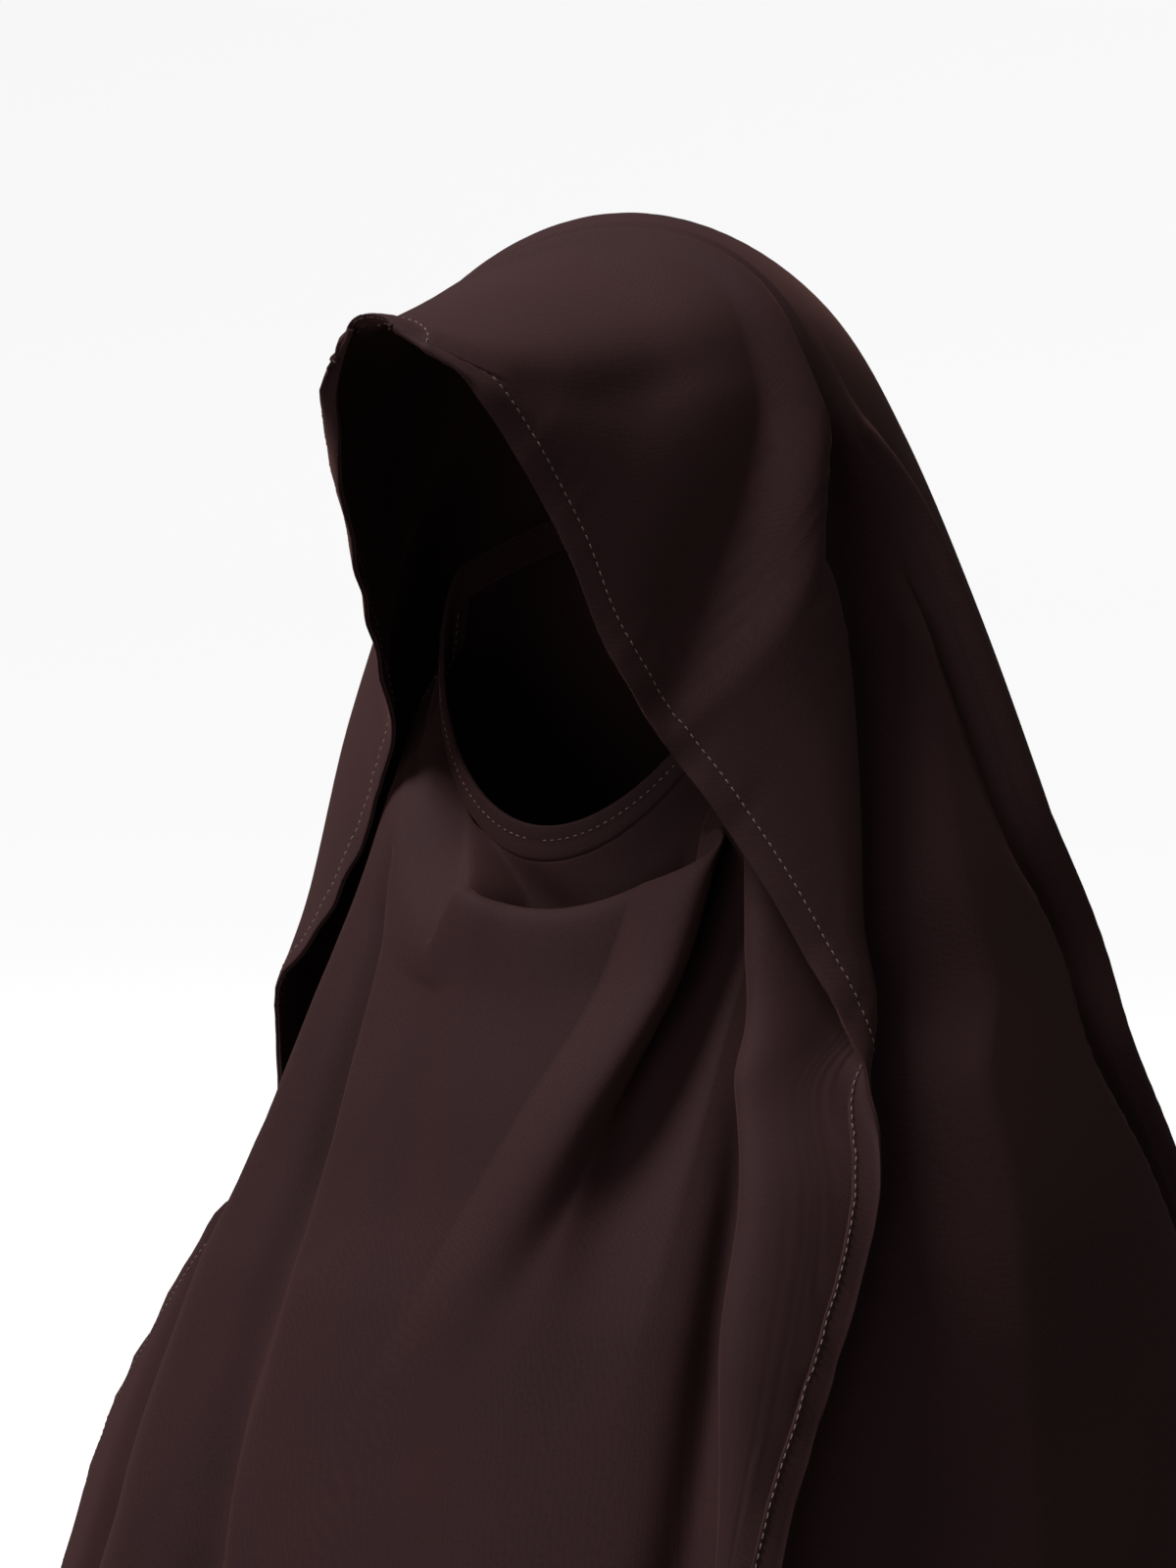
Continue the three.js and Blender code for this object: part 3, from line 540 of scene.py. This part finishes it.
def new_piece(name, coords, faces, uvs, material):
    """A smooth-shaded mesh object in the scene with a flat layout of the cloth in metres as its UV map."""
    mesh = bpy.data.meshes.new(name)
    mesh.vertices.add(len(coords))
    mesh.vertices.foreach_set("co", np.asarray(coords, np.float32).ravel())
    mesh.loops.add(faces.size)
    mesh.loops.foreach_set("vertex_index", faces.ravel().astype(np.int32))
    mesh.polygons.add(len(faces))
    mesh.polygons.foreach_set("loop_start", np.arange(0, faces.size, faces.shape[1], dtype=np.int32))
    mesh.update(calc_edges=True)
    layer = mesh.uv_layers.new(name="cloth")
    layer.data.foreach_set("uv", np.asarray(uvs, np.float32)[faces.ravel()].ravel())
    mesh.polygons.foreach_set("use_smooth", np.ones(len(faces), bool))
    mesh.materials.append(material)
    piece = bpy.data.objects.new(name, mesh)
    bpy.context.scene.collection.objects.link(piece)
    return piece


def wall(points, normals, outer, inner, keep=None):
    """Points, faces and flat layout of a closed wall on a grid, between two distances along its normals."""
    rows, cols = points.shape[:2]
    number = np.arange(rows * cols).reshape(rows, cols)
    keep = np.ones((rows - 1, cols - 1), bool) if keep is None else keep
    outer, inner = (np.broadcast_to(d, (rows, cols))[..., None] for d in (outer, inner))
    coords = np.concatenate([(points + normals * d).reshape(-1, 3) for d in (outer, inner)])
    i, j = np.nonzero(keep)
    ring = [number[i, j], number[i + 1, j], number[i + 1, j + 1], number[i, j + 1]]
    faces = [np.stack(ring, -1), np.stack(ring[::-1], -1) + rows * cols]
    padded = np.pad(keep, 1)
    for side, (di, dj) in enumerate([(0, -1), (1, 0), (0, 1), (-1, 0)]):
        bare = keep & ~padded[1 + di : rows + di, 1 + dj : cols + dj]
        i, j = np.nonzero(bare)
        corner = [number[i, j], number[i + 1, j], number[i + 1, j + 1], number[i, j + 1]]
        a, b = corner[side], corner[(side + 1) % 4]
        faces.append(np.stack([b, a, a + rows * cols, b + rows * cols], -1))
    uv = np.stack([run_lengths(points, 1), -run_lengths(points, 0)], -1).reshape(-1, 2)
    faces = np.concatenate(faces)
    used, faces = np.unique(faces, return_inverse=True)
    return coords[used], faces.reshape(-1, 4), np.concatenate([uv, uv])[used]


def stitch_paths(points, normals, top):
    """Paths of the stitch rows on a grid: its near, far, bottom and, on the veil, top hem."""
    at = int(np.argmin(abs(HEM_STEPS - STITCH_LINE)))
    rows = points.shape[0]
    first = at if top else 0
    span = slice(first, rows - at)
    paths = [(points[span, at], normals[span, at]), (points[span, -1 - at], normals[span, -1 - at])]
    inside = slice(at, points.shape[1] - at)
    paths.append((points[-1 - at, inside], normals[-1 - at, inside]))
    if top:
        paths.append((points[at, inside], normals[at, inside]))
    return paths


def stitches(name, paths, sizes, material):
    """Running stitches along paths: each one rises out of the cloth, lies on it and dives back."""
    rings, sides = len(STITCH_RISE), STITCH_SIDES
    coords, faces, uvs = [], [], []
    count = 0
    for points, normals in paths:
        gone = run_lengths(points, 0)
        number = int((gone[-1] - sizes.stitch_pitch) / sizes.stitch_pitch)
        starts = sizes.stitch_pitch * (0.5 + np.arange(number))
        along_path = starts[:, None] + sizes.stitch_length * np.linspace(0, 1, rings)
        place, up = (
            np.stack([np.interp(along_path, gone, values[:, c]) for c in range(3)], -1)
            for values in (points, normals)
        )
        run = np.gradient(place, axis=1)
        run /= np.linalg.norm(run, axis=-1, keepdims=True)
        side = np.cross(run, up)
        place = place + up * (STITCH_RISE * sizes.thread)[:, None]
        turn = np.arange(sides) * 2 * np.pi / sides
        cos, sin = np.cos(turn)[:, None], np.sin(turn)[:, None]
        thick = (STITCH_TAPER * sizes.thread / 2)[:, None, None]
        tube = place[:, :, None] + thick * (side[:, :, None] * cos + up[:, :, None] * sin)
        coords.append(tube.reshape(-1, 3))
        round_it = turn * sizes.thread / 2
        uvs.append(np.stack(np.broadcast_arrays(along_path[:, :, None], round_it), -1).reshape(-1, 2))
        i, r, s = np.meshgrid(np.arange(number), np.arange(rings - 1), np.arange(sides), indexing="ij")
        base = count + i * rings * sides
        here, there = base + r * sides, base + (r + 1) * sides
        t = (s + 1) % sides
        faces.append(np.stack([here + s, here + t, there + t, there + s], -1).reshape(-1, 4))
        # two faces close each end
        first = count + np.arange(number)[:, None] * rings * sides
        last = first + (rings - 1) * sides
        faces += [first + np.array(c) for c in ([3, 2, 1, 0], [5, 4, 3, 0])]
        faces += [last + np.array(c) for c in ([0, 1, 2, 3], [0, 3, 4, 5])]
        count += tube.reshape(-1, 3).shape[0]
    return new_piece(name, np.concatenate(coords), np.concatenate(faces), np.concatenate(uvs), material)


def back_of_hood(points, z):
    """Where the veil's middle surface stands at the back, at a height."""
    middle = points[np.arange(points.shape[0]), np.argmin(abs(points[..., 0]), axis=1)]
    below = int(np.argmax((middle[:, 2] < z) & (middle[:, 1] > 0)))
    a, b = middle[below - 1], middle[below]
    return b[1] + (a[1] - b[1]) * (z - b[2]) / (a[2] - b[2])


def band_points(angle, out, up, back_depth):
    """Points of the chin band: angle round from the front, out across its wall and up its height."""
    neck_z, side_z, centre_y = ROWS["mid_z"][0], ROWS["side_z"][0], along(ROWS["side_y"][0])
    front_depth = centre_y - along(ROWS["mid_y"][0])
    sin, cos = np.sin(angle), np.cos(angle)
    depth = np.where(cos > 0, front_depth, back_depth) + out
    rise = np.where(cos > 0, (neck_z - side_z) * np.maximum(cos, 0) ** SAG_POWER, BAND_BACK_RISE * cos)
    low = height(side_z + rise) + BAND_SEAT
    return np.stack([(LOOP_HALF_WIDTH + out) * sin, centre_y - depth * cos, low + up], -1)


def band_back_depth():
    """Depth of the band's loop behind its middle, which brings it up to the veil."""
    top = height(ROWS["side_z"][0] - BAND_BACK_RISE) + BAND_SEAT + BAND_HEIGHT
    inside = back_of_hood(veil_point(*veil_cells()), top) - BAND_BACK_GAP - BAND_WALL / 2
    return inside - along(ROWS["side_y"][0])


def band_section():
    """Section of the folded strip with its stitched groove: share up, then out and up in metres."""
    turn = np.linspace(0, 2 * np.pi, BAND_SECTION_SIDES + 1)[:-1]
    share = np.clip(np.sin(turn) * BAND_TOP_EDGE, -1, 1)
    side = np.clip(np.cos(turn) * BAND_FLAT_SIDE, -1, 1)
    corner = 1 - BAND_THINNING * np.maximum(abs(share) - BAND_CORNER, 0) / 0.2
    groove = np.exp(-(((share - BAND_STITCH * 2 + 1) * BAND_HEIGHT / 2 / BAND_GROOVE_WIDTH) ** 2))
    out = side * (BAND_WALL / 2) * corner - np.sign(side) * groove * BAND_GROOVE
    return share, out, (share + 1) / 2 * (BAND_HEIGHT + BAND_LAP) - BAND_LAP


def to_linear(colour):
    """Linear RGBA of an sRGB hex colour."""
    parts = [int(colour[i : i + 2], 16) / 255 for i in (1, 3, 5)]
    return tuple(c / 12.92 if c <= 0.04045 else ((c + 0.055) / 1.055) ** 2.4 for c in parts) + (1.0,)


def add_node(material, kind, values=None, links=None, **settings):
    """Adds a node with its settings, the values of its sockets, and the sockets that feed it."""
    made = material.node_tree.nodes.new(kind)
    for key, value in settings.items():
        setattr(made, key, value)
    for socket, value in (values or {}).items():
        made.inputs[socket].default_value = value
    for socket, source in (links or {}).items():
        material.node_tree.links.new(source, made.inputs[socket])
    return made


def new_material(name):
    """An empty node material."""
    material = bpy.data.materials.new(name)
    material.use_nodes = True
    material.node_tree.nodes.clear()
    return material


def crepe(name, dark, light, weave, relief):
    """Polyester crepe, woven from tightly twisted yarn and piece-dyed: a dry, matt, deep brown cloth with a
    fine pebbled grain that runs in faint diagonal lines, slightly paler where light grazes its yarn ends."""
    material = new_material(name)
    flat = add_node(material, "ShaderNodeUVMap", uv_map="cloth")
    # twill lines: one every `weave` metres, wider than the real half millimetre so that they show a little
    twill = add_node(
        material, "ShaderNodeTexWave", {"Scale": math.pi / 10 / weave, "Distortion": 5.0, "Detail": 2.0,
        "Detail Scale": 0.6}, {"Vector": flat.outputs["UV"]}, wave_type="BANDS", bands_direction="DIAGONAL",
    )
    # pebbled crepe grain of about a millimetre
    grain = add_node(
        material, "ShaderNodeTexNoise", {"Scale": 1 / 0.0014, "Detail": 3.0, "Roughness": 0.65},
        {"Vector": flat.outputs["UV"]},
    )
    # soft unevenness of the dye and of handling, a hand wide
    cloud = add_node(
        material, "ShaderNodeTexNoise", {"Scale": 1 / 0.09, "Detail": 2.0}, {"Vector": flat.outputs["UV"]}
    )
    pebble = add_node(
        material, "ShaderNodeMix", {"Factor": 0.85},
        {"A": twill.outputs["Fac"], "B": grain.outputs["Fac"]}, data_type="FLOAT",
    )
    tone = add_node(
        material, "ShaderNodeMix", {"Factor": 0.3},
        {"A": pebble.outputs["Result"], "B": cloud.outputs["Fac"]}, data_type="FLOAT",
    )
    dye = add_node(material, "ShaderNodeValToRGB", links={"Fac": tone.outputs["Result"]})
    dye.color_ramp.elements[0].position, dye.color_ramp.elements[1].position = 0.3, 0.7
    dye.color_ramp.elements[0].color, dye.color_ramp.elements[1].color = to_linear(dark), to_linear(light)
    bump = add_node(
        material, "ShaderNodeBump", {"Strength": 0.6, "Distance": relief},
        {"Height": pebble.outputs["Result"]},
    )
    cloth = add_node(
        material, "ShaderNodeBsdfPrincipled",
        {"Roughness": 0.82, "IOR": 1.45, "Specular IOR Level": 0.28, "Sheen Weight": 0.2,
         "Sheen Roughness": 0.5, "Sheen Tint": to_linear("#b07a6e")},
        {"Base Color": dye.outputs["Color"], "Normal": bump.outputs["Normal"]},
    )
    add_node(material, "ShaderNodeOutputMaterial", links={"Surface": cloth.outputs["BSDF"]})
    return material


def sewing_thread(name, colour):
    """Spun polyester sewing thread: a soft, dull highlight along each stitch, with a fine twist."""
    material = new_material(name)
    flat = add_node(material, "ShaderNodeUVMap", uv_map="cloth")
    # the twist's plies, one every 0.4 mm of thread
    twist = add_node(
        material, "ShaderNodeTexWave", {"Scale": math.pi / 10 / 0.0004, "Distortion": 0.6},
        {"Vector": flat.outputs["UV"]}, wave_type="BANDS", bands_direction="DIAGONAL",
    )
    bump = add_node(
        material, "ShaderNodeBump", {"Strength": 0.5, "Distance": 0.00008}, {"Height": twist.outputs["Fac"]}
    )
    thread = add_node(
        material, "ShaderNodeBsdfPrincipled",
        {"Base Color": to_linear(colour), "Roughness": 0.55, "Sheen Weight": 0.2, "Sheen Roughness": 0.4},
        {"Normal": bump.outputs["Normal"]},
    )
    add_node(material, "ShaderNodeOutputMaterial", links={"Surface": thread.outputs["BSDF"]})
    return material


def studio_paper(name, colour, glow):
    """Seamless matt background paper: an even pale ground that takes a soft shadow."""
    material = new_material(name)
    fibre = add_node(material, "ShaderNodeTexNoise", {"Scale": 3.0, "Detail": 2.0})
    shade = add_node(material, "ShaderNodeValToRGB", links={"Fac": fibre.outputs["Fac"]})
    shade.color_ramp.elements[0].color = to_linear("#ececec")
    shade.color_ramp.elements[1].color = to_linear(colour)
    paper = add_node(
        material, "ShaderNodeBsdfPrincipled",
        {"Roughness": 0.95, "Specular IOR Level": 0.1, "Emission Color": (1, 1, 1, 1),
         "Emission Strength": glow},
        {"Base Color": shade.outputs["Color"]},
    )
    add_node(material, "ShaderNodeOutputMaterial", links={"Surface": paper.outputs["BSDF"]})
    return material


class KhimarCloth(bpy.types.PropertyGroup):
    """Colours and surface of the cloth."""

    dark: bpy.props.StringProperty(
        name="Cloth, dark", description="Darker tone of the crepe, as an sRGB hex colour", default="#271416"
    )
    light: bpy.props.StringProperty(
        name="Cloth, light", description="Paler tone of the crepe, as an sRGB hex colour", default="#371c1f"
    )
    weave: bpy.props.FloatProperty(
        name="Weave spacing", description="Distance between the crepe's diagonal lines", default=0.0011,
        min=0.0003, max=0.01, unit="LENGTH", precision=5,
    )
    relief: bpy.props.FloatProperty(
        name="Grain height", description="Height of the crepe's pebbled grain", default=0.00006,
        min=0, max=0.002, unit="LENGTH", precision=5,
    )


class KhimarStitches(bpy.types.PropertyGroup):
    """Sizes and colour of the hems' stitches."""

    stitch_pitch: bpy.props.FloatProperty(
        name="Stitch pitch", description="Distance from one stitch to the next", default=0.0034,
        min=0.001, max=0.01, unit="LENGTH", precision=5,
    )
    stitch_length: bpy.props.FloatProperty(
        name="Stitch length", description="Length of thread that shows between two needle holes",
        default=0.0024, min=0.0008, max=0.009, unit="LENGTH", precision=5,
    )
    thread: bpy.props.FloatProperty(
        name="Thread", description="Thickness of the sewing thread, a little more than real so that it shows",
        default=0.0005, min=0.0002, max=0.002, unit="LENGTH", precision=5,
    )
    colour: bpy.props.StringProperty(
        name="Thread colour", description="Colour of the thread, as an sRGB hex colour", default="#75615b"
    )


class KhimarStudio(bpy.types.PropertyGroup):
    """Camera and light."""

    azimuth: bpy.props.FloatProperty(
        name="Azimuth", description="Angle of the camera round from the front, to the wearer's left",
        default=math.radians(35), subtype="ANGLE",
    )
    elevation: bpy.props.FloatProperty(
        name="Elevation", description="Angle of the camera above the level", default=math.radians(6),
        subtype="ANGLE",
    )
    distance: bpy.props.FloatProperty(
        name="Distance", description="From the camera to the point that it looks at", default=1.3, min=0.2,
        unit="LENGTH",
    )
    lens: bpy.props.FloatProperty(
        name="Lens", description="Focal length for a 36 mm sensor, in millimetres",
        default=3380 * 36 / 1600, min=10,
    )
    key_power: bpy.props.FloatProperty(
        name="Key light", description="Power of the large soft light", default=105, min=0, subtype="POWER"
    )
    fill: bpy.props.FloatProperty(
        name="Fill", description="Strength of the pale surroundings' light", default=0.11, min=0
    )


def scene_settings():
    """The settings that the scene keeps."""
    scene = bpy.context.scene
    return scene.khimar_cloth, scene.khimar_stitches, scene.khimar_studio


def shared_material(name, make, *values):
    """The material of that name, made once."""
    return bpy.data.materials.get(name) or make(name, *values)


def crepe_of(scale=1.0):
    """The crepe, or its finer one for turned cloth, from the settings."""
    cloth = bpy.context.scene.khimar_cloth
    name = "polyester_crepe" if scale == 1.0 else "polyester_crepe_turned"
    return shared_material(name, crepe, cloth.dark, cloth.light, cloth.weave * scale, cloth.relief * scale)


def thread_of():
    return shared_material("polyester_thread", sewing_thread, bpy.context.scene.khimar_stitches.colour)


def dressed_grid(k, flat, surface, top, seed):
    """A fine grid of a piece of cloth with the relief of its hems, and its normals."""
    points = surface(k, flat)
    u, v = run_lengths(points, 1), run_lengths(points, 0)
    distances, ways = [u, u[:, -1:] - u, v[-1:] - v], [v, v, u]
    if top:
        distances.append(v)
        ways.append(u)
    points = points + grid_normals(points) * hem_relief(distances, ways, seed)[..., None]
    return points, grid_normals(points)


def near_edges(points, top):
    """Cells that lie on a hem."""
    on_hem = np.zeros((points.shape[0] - 1, points.shape[1] - 1), bool)
    steps = int(np.sum(HEM_STEPS < HEM_WIDTH + 0.0001)) - 1
    on_hem[:, :steps] = on_hem[:, -steps:] = on_hem[-steps:] = True
    if top:
        on_hem[:steps] = True
    return on_hem


def sew(names, nodes, cells, surface, top, seed):
    """Makes a piece of cloth, its turned hem and its stitches, under three names, in place of two nodes."""
    points, normals = dressed_grid(*cells, surface, top, seed)
    half = CLOTH_WALL / 2
    sheet = new_piece(names[0], *wall(points, normals, half, -half), crepe_of())
    turned, under = half + LAYER_GAP, half + LAYER_GAP + HEM_WALL
    turned_wall = wall(points, normals, -turned, -under, near_edges(points, top))
    hem = new_piece(names[1], *turned_wall, crepe_of(TURNED_WEAVE))
    rows = stitch_paths(points, normals, top)
    paths = [(place + way * half, way) for place, way in rows]
    paths += [(place - way * under, -way) for place, way in rows]
    thread = stitches(names[2], paths, bpy.context.scene.khimar_stitches, thread_of())
    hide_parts(nodes[0])
    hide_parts(nodes[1])
    for piece, slot in ((sheet, "crepe_cloth"), (hem, "crepe_hem"), (thread, "crepe_hem")):
        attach(piece, ROOT)
    return sheet, hem, thread


class KHIMAR_OT_veil(bpy.types.Operator):
    """Make the veil: the hooded cloth with its front pleat, its turned hem and the stitches"""

    bl_idname = "khimar.veil"
    bl_label = "Veil"

    def execute(self, context):
        names, nodes = ("veil_crepe", "veil_turned_hem", "veil_stitches"), ("veil", "veil_hem")
        sheet, hem, thread = sew(names, nodes, veil_cells(), veil_point, True, VEIL_SEED)
        return {"FINISHED"}


class KHIMAR_OT_panel(bpy.types.Operator):
    """Make the chest panel: the cloth that hangs from the chin band, its turned hem and the stitches"""

    bl_idname = "khimar.panel"
    bl_label = "Chest panel"

    def execute(self, context):
        names, nodes = ("chest_crepe", "chest_turned_hem", "chest_stitches"), ("chest_panel", "panel_hem")
        sheet, hem, thread = sew(names, nodes, panel_cells(), panel_point, False, PANEL_SEED)
        return {"FINISHED"}


class KHIMAR_OT_chin_band(bpy.types.Operator):
    """Make the chin band: a folded, stitched strip in one loop, low at the front and higher behind"""

    bl_idname = "khimar.chin_band"
    bl_label = "Chin band"

    def execute(self, context):
        back_depth = band_back_depth()
        share, out, up = band_section()
        angle = np.linspace(0, 2 * np.pi, BAND_SIDES + 1)[:-1, None]
        way = angle * BAND_RADIUS
        ripple = BAND_RIPPLE * wave(way, BAND_RIPPLE_LENGTH, 2 * wave(way, BAND_RIPPLE_DRIFT))
        ripple = ripple * np.sin(angle / 2) ** 0.5 * (abs(share) < 0.9)
        points = band_points(angle, out + ripple, up, back_depth)
        number = np.arange(points.shape[0] * points.shape[1]).reshape(points.shape[:2])
        after, beside = np.roll(number, -1, axis=0), np.roll(number, -1, axis=1)
        faces = np.stack([beside, np.roll(after, -1, axis=1), after, number], -1).reshape(-1, 4)
        girth = np.cumsum(np.hypot(np.diff(out, append=out[0]), np.diff(up, append=up[0])))
        uvs = np.stack(np.broadcast_arrays(way, girth), -1).reshape(-1, 2)
        band = new_piece("chin_strip", points.reshape(-1, 3), faces, uvs, crepe_of(TURNED_WEAVE))

        line = np.linspace(0, 2 * np.pi, BAND_STITCH_POINTS + 1)
        face = BAND_WALL / 2
        in_groove, outside = (
            band_points(line, face + step, BAND_STITCH * BAND_HEIGHT, back_depth)
            for step in (-BAND_GROOVE, 0.01)
        )
        way_out = outside - in_groove
        way_out /= np.linalg.norm(way_out, axis=-1, keepdims=True)
        paths = [(in_groove, way_out)]
        thread = stitches("chin_stitches", paths, context.scene.khimar_stitches, thread_of())
        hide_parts("chin_band")
        for piece in (band, thread):
            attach(piece, ROOT)
        return {"FINISHED"}


class KHIMAR_OT_stage(bpy.types.Operator):
    """Make the studio: paper ground, pale surroundings, soft lights and the camera"""

    bl_idname = "khimar.stage"
    bl_label = "Studio"

    def execute(self, context):
        scene, studio = context.scene, context.scene.khimar_studio
        turn = np.linspace(0, 2 * np.pi, STAGE_SIDES + 1)[:-1]
        grid = np.array(
            [[(r * math.cos(t), r * math.sin(t), z + FLOOR_Z) for t in turn] for r, z in STAGE_PROFILE]
        )
        rows, cols = grid.shape[:2]
        number = np.arange(rows * cols).reshape(rows, cols)
        beside = np.roll(number, -1, axis=1)
        faces = np.stack([number[:-1], number[1:], beside[1:], beside[:-1]], -1).reshape(-1, 4)
        paper = shared_material("background_paper", studio_paper, "#f6f6f6", 0.78)
        ground = new_piece("paper_ground", grid.reshape(-1, 3), faces, grid.reshape(-1, 3)[:, :2], paper)
        ground.visible_diffuse = ground.visible_glossy = False

        world = bpy.data.worlds.new("pale_surroundings")
        world.use_nodes = True
        world.node_tree.nodes["Background"].inputs["Color"].default_value = to_linear("#f4f5f7")
        world.node_tree.nodes["Background"].inputs["Strength"].default_value = studio.fill
        scene.world = world

        az, el = studio.azimuth, studio.elevation
        back = Vector((math.sin(az) * math.cos(el), -math.cos(az) * math.cos(el), math.sin(el)))
        right = Vector((math.cos(az), math.sin(az), 0))
        target = Vector(LOOK_AT)
        for name, (to_right, to_camera, up, share) in LIGHTS.items():
            lamp = bpy.data.lights.new(name, "AREA")
            lamp.shape, lamp.size, lamp.energy = "DISK", LIGHT_SIZE, studio.key_power * share
            light = bpy.data.objects.new(name, lamp)
            place = target + right * to_right + back * to_camera + Vector((0, 0, up))
            light.location = place
            light.rotation_euler = (target - place).to_track_quat("-Z", "Y").to_euler()
            scene.collection.objects.link(light)

        camera = bpy.data.objects.new("photo_camera", bpy.data.cameras.new("photo_camera"))
        camera.data.sensor_width = 36
        camera.data.lens = studio.lens
        camera.data.clip_start, camera.data.clip_end = 0.05, 50
        camera.location = target + back * studio.distance
        camera.rotation_euler = (-back).to_track_quat("-Z", "Y").to_euler()
        scene.collection.objects.link(camera)
        scene.camera = camera
        scene.view_settings.view_transform = "Standard"
        return {"FINISHED"}


class KHIMAR_PT_panel(bpy.types.Panel):
    """Sizes, colours and the steps that make the khimar"""

    bl_label = "Khimar"
    bl_idname = "KHIMAR_PT_panel"
    bl_space_type = "VIEW_3D"
    bl_region_type = "UI"
    bl_category = "Khimar"

    def draw(self, context):
        for group in scene_settings():
            box = self.layout.box()
            for name in group.__annotations__:
                box.prop(group, name)
        for operator in OPERATORS:
            self.layout.operator(operator.bl_idname)


OPERATORS = (KHIMAR_OT_veil, KHIMAR_OT_panel, KHIMAR_OT_chin_band, KHIMAR_OT_stage)
CLASSES = (KhimarCloth, KhimarStitches, KhimarStudio, *OPERATORS, KHIMAR_PT_panel)


def register():
    for kind in CLASSES:
        bpy.utils.register_class(kind)
    bpy.types.Scene.khimar_cloth = bpy.props.PointerProperty(type=KhimarCloth)
    bpy.types.Scene.khimar_stitches = bpy.props.PointerProperty(type=KhimarStitches)
    bpy.types.Scene.khimar_studio = bpy.props.PointerProperty(type=KhimarStudio)


def unregister():
    del bpy.types.Scene.khimar_studio
    del bpy.types.Scene.khimar_stitches
    del bpy.types.Scene.khimar_cloth
    for kind in reversed(CLASSES):
        bpy.utils.unregister_class(kind)


def main():
    register()
    bpy.ops.khimar.veil()
    bpy.ops.khimar.panel()
    bpy.ops.khimar.chin_band()
    bpy.ops.khimar.stage()


if __name__ == "__main__":
    main()
